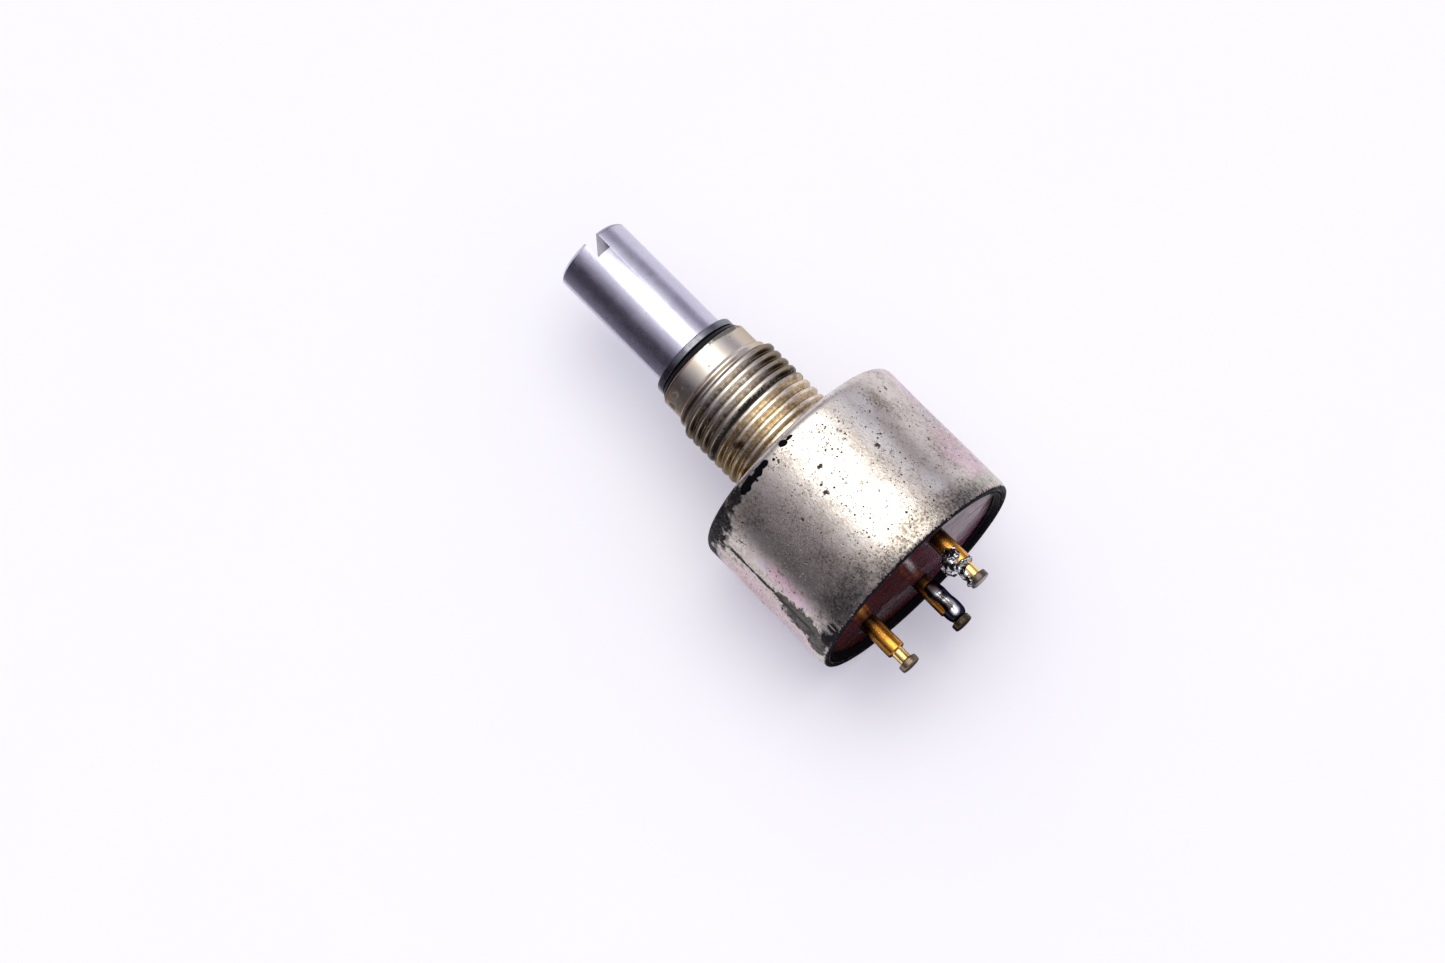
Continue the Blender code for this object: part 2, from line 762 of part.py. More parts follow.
def build_end_solder(angle, look):
    """A smooth coat over one end terminal's barrel and neck, thicker on its upper side."""
    front = barrel_front - COAT_BASE_GAP
    back = crown_front + COAT_CROWN_GAP
    radius = BARREL_DIAMETER / 2 + COAT_THICKNESS
    middle, half = (front + back) / 2, (front - back) / 2
    outline = [(front, 0)]
    for t in lump_turns()[1:-1]:
        outline.append((middle + half * math.cos(t), radius * math.sin(t) ** COAT_FULLNESS))
    outline.append((back, 0))
    y, z = around(terminal_circle, angle)[1:]
    aside = around(COAT_OFFSET, COAT_ANGLE)
    coat = turned("end_solder", outline, look, SMALL_STEPS, location=(0, y + aside[1], z + aside[2]))
    combine(coat, terminal_room("end_solder_room", angle, look), "DIFFERENCE")
    return coat


def main():
    for old in list(bpy.data.objects):
        bpy.data.objects.remove(old, do_unlink=True)

    plated_steel = finish("plated steel", (0.62, 0.61, 0.60), 1, 0.32)
    nickel_brass = finish("nickel on brass", (0.66, 0.60, 0.50), 1, 0.28)
    shaft_steel = finish("shaft steel", (0.60, 0.59, 0.61), 1, 0.22)
    spring_steel = finish("spring steel", (0.36, 0.35, 0.36), 1, 0.38)
    black_rubber = finish("black rubber", (0.012, 0.012, 0.012), 0, 0.6)
    red_phenolic = finish("red phenolic", (0.085, 0.016, 0.014), 0, 0.22)
    brown_phenolic = finish("brown phenolic", (0.11, 0.045, 0.02), 0, 0.45)
    fibre = finish("liner fibre", (0.23, 0.16, 0.10), 0, 0.8)
    gold = finish("gold plate", (0.78, 0.50, 0.14), 1, 0.24)
    bronze = finish("spring bronze", (0.62, 0.36, 0.18), 1, 0.3)
    silver = finish("silver plate", (0.78, 0.77, 0.74), 1, 0.25)
    carbon = finish("moulded carbon", (0.02, 0.02, 0.022), 0, 0.5)
    solder = finish("old solder", (0.42, 0.43, 0.45), 1, 0.4)

    build_can(plated_steel)
    build_bushing(nickel_brass)
    build_stop_pin(spring_steel)
    build_seal(black_rubber)
    build_liner(fibre)
    build_plate(red_phenolic)
    build_plate_seal(black_rubber)
    build_track(carbon)
    build_collector(silver)
    build_terminal("wiper_terminal", WIPER_ANGLE, gold)
    for side, angle in end_angles.items():
        build_terminal(f"end_terminal_{side}", angle, gold)
        build_end_contact(side, angle, silver)
    build_wiper_solder(solder)
    build_end_solder(end_angles["a"], solder)

    axle = bpy.data.objects.new("shaft_axle", None)
    axle.rotation_euler = (math.radians(rest_angle), 0, 0)
    bpy.context.scene.collection.objects.link(axle)
    build_shaft(shaft_steel, axle)
    build_retaining_ring(spring_steel, axle)
    o_ring_middle = bore_radius - RUNNING_GAP - O_RING_SECTION / 2
    o_ring(
        "shaft_o_ring",
        o_ring_place,
        o_ring_middle,
        O_RING_SECTION,
        black_rubber,
        SHAFT_STEPS,
        parent=axle,
    )
    washer_inside = shaft_radius + RUNNING_GAP
    tube(
        "thrust_washer",
        washer_front,
        washer_back,
        collar_radius,
        washer_inside,
        bronze,
        SHAFT_STEPS,
        parent=axle,
    )
    build_carrier(brown_phenolic, axle)
    clip_inside = tang_radius + SEAT_GAP
    tube(
        "carrier_clip",
        clip_front,
        clip_back,
        clip_inside + CLIP_WIDTH,
        clip_inside,
        spring_steel,
        SHAFT_STEPS,
        parent=axle,
    )
    build_wiper_spring(bronze, axle)
    for side, place in rivet_places().items():
        rivet(f"carrier_rivet_{side}", bronze, axle, place)
    for name, radius in (("track_brush", track_middle), ("collector_brush", collector_middle)):
        rod(
            name,
            brush_front,
            brush_back,
            BRUSH_DIAMETER / 2,
            carbon,
            SMALL_STEPS,
            parent=axle,
            location=(0, radius, 0),
        )


main()
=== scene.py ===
import json
import math

import bmesh
import bpy
from mathutils import Euler, Matrix, Vector, noise


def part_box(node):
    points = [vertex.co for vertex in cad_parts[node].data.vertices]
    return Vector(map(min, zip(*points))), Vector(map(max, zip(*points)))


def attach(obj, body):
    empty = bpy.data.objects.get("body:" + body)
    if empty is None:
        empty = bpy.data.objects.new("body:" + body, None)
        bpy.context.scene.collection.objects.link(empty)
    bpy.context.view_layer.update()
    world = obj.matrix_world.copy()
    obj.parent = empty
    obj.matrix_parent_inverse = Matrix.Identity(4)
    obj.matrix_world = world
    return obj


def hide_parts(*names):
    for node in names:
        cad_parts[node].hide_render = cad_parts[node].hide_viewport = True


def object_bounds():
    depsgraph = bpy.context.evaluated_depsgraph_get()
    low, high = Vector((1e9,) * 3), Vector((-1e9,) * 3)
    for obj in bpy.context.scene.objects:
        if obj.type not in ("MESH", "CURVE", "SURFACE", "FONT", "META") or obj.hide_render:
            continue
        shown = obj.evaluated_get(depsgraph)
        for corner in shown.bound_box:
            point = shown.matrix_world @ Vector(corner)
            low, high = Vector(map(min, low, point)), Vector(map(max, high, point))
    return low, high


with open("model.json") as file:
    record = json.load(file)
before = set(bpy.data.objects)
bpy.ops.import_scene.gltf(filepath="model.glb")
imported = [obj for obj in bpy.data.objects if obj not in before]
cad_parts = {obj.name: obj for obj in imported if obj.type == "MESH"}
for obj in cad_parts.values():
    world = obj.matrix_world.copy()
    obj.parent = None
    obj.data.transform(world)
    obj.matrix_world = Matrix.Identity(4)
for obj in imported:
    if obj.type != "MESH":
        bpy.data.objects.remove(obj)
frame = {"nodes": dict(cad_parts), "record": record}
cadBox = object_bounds()

mm = 0.001
inch = 0.0254
turretNodes = ("wiper_terminal", "end_terminal_a", "end_terminal_b")


def inMm(**lengths):
    return {name: value * mm for name, value in lengths.items()}


# Node helpers; most of them find their tree through the sockets that they are given


def put(tree, kind, inputs=None, **settings):
    node = tree.nodes.new("ShaderNode" + kind)
    for name, value in settings.items():
        setattr(node, name, value)
    feed(node, inputs or {})
    return node


def feed(node, inputs):
    for key, value in inputs.items():
        if isinstance(value, bpy.types.NodeSocket):
            node.id_data.links.new(value, node.inputs[key])
        else:
            node.inputs[key].default_value = value


def calc(operation, a, b=0.0):
    known = a if isinstance(a, bpy.types.NodeSocket) else b
    return put(known.id_data, "Math", {0: a, 1: b}, operation=operation).outputs[0]


def chained(operation):
    def work(total, *others):
        for value in others:
            total = calc(operation, total, value)
        return total
    return work


times = chained("MULTIPLY")
plus = chained("ADD")
minus = chained("SUBTRACT")
most = chained("MAXIMUM")


def remap(value, low, high, toLow=0.0, toHigh=1.0):
    inputs = {0: value, 1: low, 2: high, 3: toLow, 4: toHigh}
    return put(value.id_data, "MapRange", inputs, interpolation_type="SMOOTHSTEP").outputs[0]


def between(mask, low, high):
    return remap(mask, 0.0, 1.0, low, high)


def overlay(factor, below, above):
    return put(factor.id_data, "Mix", {0: factor, 6: below, 7: above}, data_type="RGBA").outputs[2]


def axes(place):
    return put(place.id_data, "SeparateXYZ", {0: place}).outputs


def noisy(place, scale, detail, roughness=0.5, distortion=0.0):
    inputs = dict(Vector=place, Scale=scale, Detail=detail, Roughness=roughness, Distortion=distortion)
    return put(place.id_data, "TexNoise", inputs).outputs[0]


socketKinds = dict(Place="Vector", Lie="Vector", Color="Color", First="Color", Second="Color", Third="Color")


def makeGroup(name, wire, inputs, outputs):
    group = bpy.data.node_groups.new(name, "ShaderNodeTree")
    for side, titles in (("INPUT", inputs), ("OUTPUT", outputs)):
        for title in titles.split():
            kind = socketKinds.get(title, "Float")
            group.interface.new_socket(title, in_out=side, socket_type="NodeSocket" + kind)
    entry = group.nodes.new("NodeGroupInput").outputs
    feed(group.nodes.new("NodeGroupOutput"), wire(group, entry))
    return group


def use(group, place, **inputs):
    made = put(place.id_data, "Group", {"Place": place, **inputs}, node_tree=group).outputs
    return made if len(made) > 1 else made[0]


# Shared effects, as node groups in millimetres


def wirePartSpace(tree, entry):
    place = put(tree, "TexCoord").outputs["Object"]
    scaled = put(tree, "VectorMath", {0: place, "Scale": 1 / mm}, operation="SCALE").outputs[0]
    x, y, z = axes(scaled)
    spoke = put(tree, "CombineXYZ", {1: y, 2: z}).outputs[0]
    radius = put(tree, "VectorMath", {0: spoke}, operation="LENGTH").outputs[1]
    turn = calc("DEGREES", calc("ARCTAN2", times(y, -1.0), z))
    return {"Place": scaled, "Along": x, "Radius": radius, "Turn": turn, "Height": z}


def wireMottle(tree, entry):
    cloud = noisy(entry["Place"], scale=entry["Scale"], detail=6.0, roughness=0.62, distortion=0.5)
    return {"Mask": remap(cloud, entry["From"], entry["To"])}


def wireSpecks(tree, entry):
    finer = times(entry["Scale"], 2.2)
    shiver = put(tree, "TexNoise", {"Vector": entry["Place"], "Scale": finer, "Detail": 3.0}).outputs[1]
    shift = {0: shiver, 1: calc("DIVIDE", 0.7, entry["Scale"]), 2: entry["Place"]}
    shaken = put(tree, "VectorMath", shift, operation="MULTIPLY_ADD").outputs[0]
    cells = put(tree, "TexVoronoi", {"Vector": shaken, "Scale": entry["Scale"]}).outputs
    chance = put(tree, "SeparateColor", {0: cells["Color"]}).outputs
    reach = times(entry["Size"], calc("POWER", chance[0], 1.6))
    spot = remap(cells["Distance"], reach, times(reach, 0.6))
    return {"Mask": times(spot, calc("LESS_THAN", chance[1], entry["Cover"]))}


def wireTurning(tree, entry):
    wander = noisy(entry["Place"], scale=0.4, detail=1.0)
    line = plus(times(axes(entry["Place"])[0], entry["PerMm"]), wander)
    inputs = {"W": line, "Scale": 1.0, "Detail": 3.0, "Roughness": 0.7}
    marks = put(tree, "TexNoise", inputs, noise_dimensions="1D").outputs[0]
    return {"Height": marks, "Mask": remap(marks, 0.4, 0.65)}


def wireScratches(tree, entry):
    inputs = {"Vector": entry["Place"], "Rotation": entry["Lie"], "Scale": (0.12, 2.2, 2.2)}
    lines = noisy(put(tree, "Mapping", inputs).outputs[0], scale=entry["Scale"], detail=2.0)
    return {"Mask": remap(lines, entry["From"], plus(entry["From"], 0.06))}


def wirePatch(tree, entry):
    across = calc("DIVIDE", minus(entry["Turn"], entry["TurnAt"]), entry["TurnReach"])
    length = calc("DIVIDE", minus(entry["Along"], entry["AlongAt"]), entry["AlongReach"])
    apart = calc("SQRT", plus(calc("POWER", across, 2.0), calc("POWER", length, 2.0)))
    ragged = noisy(entry["Place"], scale=entry["Grain"], detail=5.0, roughness=0.65)
    torn = plus(apart, times(minus(ragged, 0.5), entry["Ragged"]))
    return {"Mask": remap(torn, 1.0, minus(1.0, entry["Soft"]))}


def wireFilm(tree, entry):
    cloud = noisy(entry["Place"], scale=entry["Scale"], detail=4.0, distortion=1.2)
    warm = overlay(remap(cloud, 0.36, 0.5), entry["First"], entry["Second"])
    return {"Color": overlay(remap(cloud, 0.52, 0.66), warm, entry["Third"])}


partSpace = makeGroup("part space", wirePartSpace, "", "Place Along Radius Turn Height")
mottle = makeGroup("mottled patches", wireMottle, "Place Scale From To", "Mask")
specks = makeGroup("pitted specks", wireSpecks, "Place Scale Size Cover", "Mask")
turning = makeGroup("turning marks", wireTurning, "Place PerMm", "Height Mask")
scratches = makeGroup("fine scratches", wireScratches, "Place Scale From Lie", "Mask")
patch = makeGroup("ragged patch", wirePatch,
                  "Place Turn Along TurnAt AlongAt TurnReach AlongReach Grain Ragged Soft", "Mask")
film = makeGroup("oxide film", wireFilm, "Place Scale First Second Third", "Color")
print("effects:", len(bpy.data.node_groups), "shader groups")


def patches(space, places, grain, ragged, soft):
    masks = []
    for turnAt, alongAt, turnReach, alongReach in places:
        masks.append(use(patch, space["Place"], Turn=space["Turn"], Along=space["Along"], TurnAt=turnAt,
                         AlongAt=alongAt, TurnReach=turnReach, AlongReach=alongReach, Grain=grain,
                         Ragged=ragged, Soft=soft))
    return most(*masks)


# Finishes


def newFinish(name, uniform):
    made = bpy.data.materials.new(name)
    made.use_nodes = True
    feed(shaderOf(made), uniform)
    return made, put(made.node_tree, "Group", node_tree=partSpace).outputs


def shaderOf(made):
    return made.node_tree.nodes["Principled BSDF"]


def dress(made, colour, roughness, height, depth, **more):
    bump = put(made.node_tree, "Bump", {"Height": height, "Distance": depth, "Strength": 1.0})
    feed(shaderOf(made), {"Base Color": colour, "Roughness": roughness, "Normal": bump.outputs[0], **more})
    return made


# Turn is in degrees from the top of the can, plus towards -Y; along is in millimetres from the panel seat.
canFinish = dict(
    plating=(0.68, 0.622, 0.568, 1), dull=(0.45, 0.395, 0.345, 1), paintedSheen=(0.90, 0.87, 0.84, 1),
    grunge=(0.15, 0.135, 0.12, 1), stain=(0.20, 0.16, 0.12, 1), smoke=(0.085, 0.078, 0.076, 1),
    grit=(0.23, 0.18, 0.13, 1), pink=(0.74, 0.525, 0.585, 1), violet=(0.58, 0.49, 0.60, 1),
    green=(0.50, 0.54, 0.42, 1), sootAndShade=(0.009, 0.008, 0.012, 1), lead=(0.050, 0.047, 0.047, 1),
    pinkPlaces=[(-92, -6.5, 22, 7.5), (-63, -8.0, 7, 5.0), (57, -9.3, 20, 4.6), (67, -4.0, 14, 4.2),
                (140, -6, 40, 7), (-150, -6, 30, 6)],
    greenPlaces=[(56, -12.2, 26, 0.9), (-78, -12.4, 12, 1.0), (-150, -12, 40, 1.2)],
    paintedSheenPlaces=[(21, -4.5, 9, 6.5), (28, -2.2, 8, 2.4), (24, -10.5, 7, 2.5)],
    stainPlaces=[(-38, -9.2, 12, 2.4), (-34, -11.6, 34, 2.0), (44, -9.0, 10, 2.6), (36, -3.0, 7, 2.0),
                 (-46, -2.4, 12, 1.6), (6, -12.2, 62, 1.8)],
    gritPlaces=[(-40, -6.0, 26, 7.0), (-88, -6.5, 18, 7.5), (60, -7.0, 22, 6.5)],
    smokePlaces=[(-45, -12.4, 28, 3.2), (-66, -12.6, 13, 1.8), (-16, -12.8, 20, 1.7), (33, -12.7, 26, 1.7)],
    sootPlaces=[(-68, -0.4, 28, 2.1), (-98, -0.4, 36, 1.8), (-47, -0.7, 10, 1.0), (-63, -12.9, 7, 0.4),
                (-69, -12.6, 7, 0.8), (-60, -12.5, 4, 0.7), (120, -0.2, 30, 0.6)],
    leadPlaces=[(-74, -10.2, 8, 2.3), (-80, -12.0, 9, 1.0), (-72, -8.2, 3.5, 1.0)], creaseTurn=-73,
    creaseFrom=-2.2, creaseTo=-11.6, rim=(-12.98, -13.1), rimward=(-9.8, -12.9), inside=(9.0, 8.9),
    behind=(-0.4, -0.6), sootRadius=(8.3, 8.9))


def platedSteel():
    look = canFinish
    made, space = newFinish("plated steel", {"Metallic": 1.0, "Specular IOR Level": 0.03})
    place, along = space["Place"], space["Along"]
    cloudy = use(mottle, place, Scale=0.28, From=0.42, To=0.64)
    broken = use(mottle, place, Scale=1.3, From=0.40, To=0.62)
    grainy = use(mottle, place, Scale=5.0, From=0.42, To=0.62)
    dulled = times(remap(plus(cloudy, broken), 0.2, 1.6), between(grainy, 0.25, 1.0))
    colour = overlay(dulled, look["plating"], look["dull"])
    # paler patches on the upper side widen the can's highlight: painted highlight
    paintedSheen = patches(space, look["paintedSheenPlaces"], grain=0.6, ragged=0.9, soft=0.8)
    colour = overlay(times(paintedSheen, 0.75), colour, look["paintedSheen"])
    stained = patches(space, look["stainPlaces"], grain=1.3, ragged=1.6, soft=0.8)
    colour = overlay(times(stained, between(grainy, 0.3, 0.85)), colour, look["stain"])
    pinked = patches(space, look["pinkPlaces"], grain=0.6, ragged=1.2, soft=0.7)
    tint = use(film, place, Scale=0.35, First=look["violet"], Second=look["pink"], Third=look["pink"])
    colour = overlay(times(pinked, between(grainy, 0.9, 0.6)), colour, tint)
    greened = patches(space, look["greenPlaces"], grain=1.5, ragged=1.5, soft=0.7)
    colour = overlay(times(greened, 0.6), colour, look["green"])
    smoky = patches(space, look["smokePlaces"], grain=1.6, ragged=1.5, soft=0.9)
    colour = overlay(times(smoky, between(grainy, 0.6, 0.95)), colour, look["smoke"])
    gritty = patches(space, look["gritPlaces"], grain=0.8, ragged=1.3, soft=0.9)
    salted = use(mottle, place, Scale=9.0, From=0.44, To=0.58)
    colour = overlay(times(gritty, salted, 0.7), colour, look["grit"])

    # black pits crowd round the stains and towards the rim
    crowded = use(mottle, place, Scale=0.45, From=0.40, To=0.60)
    rimward = remap(along, *look["rimward"])
    crowd = most(between(crowded, 0.22, 0.95), times(rimward, 0.9), times(stained, 0.8), times(gritty, 0.75))
    dust = use(specks, place, Scale=6.5, Size=0.42, Cover=crowd)
    fine = use(specks, place, Scale=3.2, Size=0.36, Cover=times(crowd, 0.7))
    coarse = use(specks, place, Scale=1.15, Size=0.30, Cover=times(crowd, 0.4))
    pits = most(dust, fine, coarse)
    darkened = use(mottle, place, Scale=2.4, From=0.56, To=0.68)
    colour = overlay(times(darkened, crowd, 0.8), colour, look["grunge"])
    colour = overlay(times(pits, 0.93), colour, look["sootAndShade"])

    lead = patches(space, look["leadPlaces"], grain=2.2, ragged=1.5, soft=0.15)
    lead = times(lead, between(broken, 0.88, 1.0))
    aside = calc("ABSOLUTE", minus(space["Turn"], look["creaseTurn"]))
    line = times(remap(plus(aside, times(broken, 1.4)), 2.3, 1.2),
                 times(remap(along, look["creaseFrom"], look["creaseFrom"] - 0.5),
                       remap(along, look["creaseTo"], look["creaseTo"] + 0.5)))
    colour = overlay(times(most(lead, line), 0.96), colour, look["lead"])

    # the rolled rim's edge is painted near black, partly crud and partly painted shade; the inside of the can
    # is painted black as shade; the sooty patches are dirt
    rim = remap(minus(along, times(grainy, 0.12)), *look["rim"])
    inside = remap(space["Radius"], *look["inside"])
    behind = times(inside, remap(along, *look["behind"]))
    sooty = times(patches(space, look["sootPlaces"], grain=1.7, ragged=1.7, soft=0.5),
                  remap(minus(space["Radius"], times(broken, 0.5)), *look["sootRadius"]))
    black = most(rim, behind, times(sooty, between(grainy, 1.0, 0.94)))
    colour = overlay(black, colour, look["sootAndShade"])

    lines = use(scratches, place, Scale=2.2, From=0.68, Lie=(0.3, 0.5, 0.2))
    colour = overlay(times(lines, 0.35), colour, look["plating"])
    rough = plus(between(dulled, 0.30, 0.42), times(black, 0.15), times(most(pits, lead), 0.2))
    skin = noisy(place, scale=5.0, detail=4.0, roughness=0.6)
    height = minus(times(skin, 0.55), times(pits, 0.8))
    matt = most(black, pits, times(lead, 0.95))
    return dress(made, colour, rough, height, 0.03 * mm, Metallic=minus(1.0, matt))


bushingFinish = dict(
    nickel=(0.74, 0.705, 0.66, 1), yellowedAndShaded=(0.60, 0.49, 0.33, 1), brass=(0.82, 0.73, 0.58, 1),
    amber=(0.58, 0.43, 0.21, 1), blush=(0.92, 0.83, 0.76, 1), copper=(0.58, 0.27, 0.19, 1),
    edgeTint=(0.68, 0.65, 0.60, 1), groove=(0.088, 0.062, 0.036, 1), grime=(0.012, 0.011, 0.011, 1),
    rust=(0.16, 0.06, 0.02, 1), threadFront=8.0, pitch=0.79375, startTurn=-132, crestAt=0.45,
    varnish=(4.5, 3.9), shadedSides=(22, 55), amberShadeSide=(-30, -75), farSideShade=(16, 42), nearSideShade=(-46, -76),
    tornSide=(-20, 10), tarFrom=4.2, tarTo=5.1, copperPlaces=[(9.94, -4), (8.02, 2)], cornerAt=7.72,
    cornerEnd=28,
    smudgePlaces=[(32, 9.92, 32, 0.27), (-10, 10.10, 74, 0.13), (-64, 9.3, 9, 0.3), (-84, 9.2, 9, 0.4)],
    rustPlaces=[(-46, 2.9, 7, 0.4), (-62, 1.2, 8, 0.5)])


def nickelBrass():
    look = bushingFinish
    uniform = {"Metallic": 1.0, "Specular IOR Level": 0.05, "Specular Tint": look["edgeTint"]}
    made, space = newFinish("nickel on brass", uniform)
    place, along, turn = space["Place"], space["Along"], space["Turn"]
    cloudy = use(mottle, place, Scale=0.7, From=0.34, To=0.70)
    grainy = use(mottle, place, Scale=3.5, From=0.38, To=0.64)

    # turns of thread behind its start; across is 0 on a crest and 1 in a groove
    around = calc("FRACT", calc("DIVIDE", minus(look["startTurn"], turn), 360.0))
    turns = calc("DIVIDE", minus(look["threadFront"], along), look["pitch"])
    turns = minus(turns, around)
    across = calc("ABSOLUTE", minus(calc("FRACT", turns), look["crestAt"]))
    across = times(across, 2.0)
    inGroove = plus(calc("FLOOR", plus(turns, 1 - look["crestAt"])), around)
    threaded = remap(turns, -0.1, 0.05)

    # the sides away from the top are painted darker and yellower as shade; cloudy yellowing is mixed in
    sideShade = remap(calc("ABSOLUTE", plus(turn, 5.0)), *look["shadedSides"], 0.0, 0.7)
    yellowingAndShade = most(times(cloudy, 0.5), sideShade)
    colour = overlay(yellowingAndShade, look["nickel"], look["yellowedAndShaded"])
    worn = plus(along, times(cloudy, 0.5))
    varnished = remap(worn, *look["varnish"])
    varnish = overlay(times(grainy, 0.8), look["brass"], look["amber"])
    varnish = overlay(times(remap(across, 0.8, 0.3), cloudy), varnish, look["blush"])
    # the varnish is painted deeper amber towards one side as shade
    varnish = overlay(remap(turn, *look["amberShadeSide"], 0.0, 0.8), varnish, look["amber"])
    colour = overlay(varnished, colour, varnish)
    for copperAt, copperEnd in look["copperPlaces"]:
        apart = calc("ABSOLUTE", minus(along, copperAt))
        bared = times(remap(apart, 0.10, 0.02), remap(turn, copperEnd, copperEnd - 20))
        colour = overlay(times(bared, 0.9), colour, look["copper"])

    # painted shade in the corner at the neck, over the crests on the far side and, on the varnished thread,
    # on the near side; the grooves are darkened, partly grime and partly painted shade
    corner = remap(calc("ABSOLUTE", minus(along, look["cornerAt"])), 0.22, 0.06)
    corner = times(corner, remap(turn, look["cornerEnd"], look["cornerEnd"] - 20))
    plain = minus(1.0, varnished)
    farSideShade = times(remap(turn, *look["farSideShade"]), plain)
    farSideShade = most(farSideShade, times(remap(turn, *look["nearSideShade"]), between(varnished, 1.0, 0.6)))
    grooveShadeAndGrime = remap(plus(across, times(grainy, 0.2)), 0.76, 1.06)
    grooveShadeAndGrime = times(grooveShadeAndGrime, between(varnished, 0.85, 0.4))
    grooveShadeAndGrime = most(grooveShadeAndGrime, times(farSideShade, remap(across, 0.1, 0.8, 0.65, 1.0)))
    grooveShadeAndGrime = most(times(grooveShadeAndGrime, threaded), times(corner, 0.9))
    colour = overlay(grooveShadeAndGrime, colour, look["groove"])
    tarEnds = times(remap(inGroove, look["tarFrom"], look["tarFrom"] + 0.15),
                    remap(inGroove, look["tarTo"], look["tarTo"] - 0.15))
    torn = minus(across, times(grainy, remap(turn, *look["tornSide"], 0.45, 1.0)))
    tarred = times(tarEnds, remap(torn, 0.2, 0.4))
    smudged = patches(space, look["smudgePlaces"], grain=2.2, ragged=1.8, soft=0.5)
    dots = use(specks, place, Scale=2.6, Size=0.30, Cover=0.3)
    dark = most(times(tarred, 0.95), times(dots, 0.8), times(smudged, 0.8))
    rusty = patches(space, look["rustPlaces"], grain=2.0, ragged=1.2, soft=0.6)
    colour = overlay(times(rusty, 0.85), colour, look["rust"])
    colour = overlay(dark, colour, look["grime"])
    rough = plus(between(cloudy, 0.26, 0.34), times(dark, 0.2))
    rings = use(turning, place, PerMm=14.0)["Height"]
    height = minus(times(rings, 0.25), times(dots, 0.6))
    return dress(made, colour, rough, height, 0.012 * mm, Metallic=minus(1.0, dark))


shaftFinish = dict(
    steel=(0.57, 0.55, 0.66, 1), pale=(0.63, 0.615, 0.72, 1), stain=(0.24, 0.22, 0.26, 1),
    slotAndTipShade=(0.09, 0.08, 0.10, 1), slotFloor=21.0, slotHalf=0.6, tipFrom=22.2, tipTurn=(0, 30))


def shaftSteel():
    look = shaftFinish
    made, space = newFinish("shaft steel", {"Metallic": 1.0})
    place, along = space["Place"], space["Along"]
    cloudy = use(mottle, place, Scale=0.5, From=0.38, To=0.66)
    marks = use(turning, place, PerMm=18.0)
    colour = overlay(cloudy, look["steel"], look["pale"])
    colour = overlay(times(marks["Mask"], 0.1), colour, look["stain"])
    dots = use(specks, place, Scale=2.6, Size=0.22, Cover=0.3)
    colour = overlay(times(dots, 0.6), colour, look["stain"])
    lines = use(scratches, place, Scale=2.6, From=0.69, Lie=(0.2, 0.1, 1.2))
    colour = overlay(times(lines, 0.35), colour, look["pale"])
    across = calc("ABSOLUTE", axes(place)[1])
    # painted shade on the slot's walls and along the top edge of the tip
    slotted = times(remap(along, look["slotFloor"] - 0.05, look["slotFloor"] + 0.1),
                    remap(across, look["slotHalf"] + 0.03, look["slotHalf"]))
    tip = times(remap(along, look["tipFrom"], look["tipFrom"] + 0.2), remap(space["Turn"], *look["tipTurn"]))
    darkened = times(most(slotted, tip), between(cloudy, 0.8, 0.55))
    colour = overlay(darkened, colour, look["slotAndTipShade"])
    rough = plus(between(cloudy, 0.23, 0.29), times(dots, 0.15))
    height = minus(times(marks["Height"], 0.4), times(lines, 0.3))
    return dress(made, colour, rough, height, 0.002 * mm)


# Plain metals of the small and inner pieces: pale, dark, low and high roughness, marks in a millimetre
metalFinishes = {
    "spring_steel": ((0.21, 0.215, 0.24, 1), (0.08, 0.08, 0.09, 1), 0.24, 0.40, 10.0),
    "spring_bronze": ((0.66, 0.40, 0.20, 1), (0.34, 0.18, 0.08, 1), 0.24, 0.40, 8.0),
    "silver_plate": ((0.80, 0.79, 0.76, 1), (0.46, 0.43, 0.38, 1), 0.20, 0.36, 9.0),
}


def smallMetal(slot):
    pale, dark, smoothest, roughest, perMm = metalFinishes[slot]
    made, space = newFinish(slot.replace("_", " "), {"Metallic": 1.0})
    place = space["Place"]
    cloudy = use(mottle, place, Scale=1.4, From=0.40, To=0.68)
    dots = use(specks, place, Scale=4.0, Size=0.3, Cover=0.35)
    marks = use(turning, place, PerMm=perMm)["Height"]
    worn = most(times(cloudy, 0.6), dots)
    colour = overlay(worn, pale, dark)
    height = minus(times(marks, 0.4), times(dots, 0.5))
    return dress(made, colour, between(worn, smoothest, roughest), height, 0.01 * mm)


goldFinish = dict(
    gold=(0.80, 0.355, 0.060, 1), bright=(1.0, 0.70, 0.25, 1), amber=(0.42, 0.18, 0.018, 1),
    tarnishAndShade=(0.10, 0.042, 0.008, 1), sootAndShade=(0.014, 0.011, 0.010, 1),
    tarnishAndShadePlaces=[(-110, -14.2, 66, 1.9), (95, -13.2, 60, 0.6)], base=(-13.8, -12.95), neckFrom=-15.75,
    crown=(-16.75, -16.9), crownEdge=(0.66, 0.78), nearSideShade=(-14, -70), farSideShade=(50, 100),
    crowns={"wiper_terminal": (0.165, 0.155, 0.16, 1), "end_terminal_a": (0.045, 0.04, 0.04, 1),
            "end_terminal_b": (0.42, 0.33, 0.24, 1)})


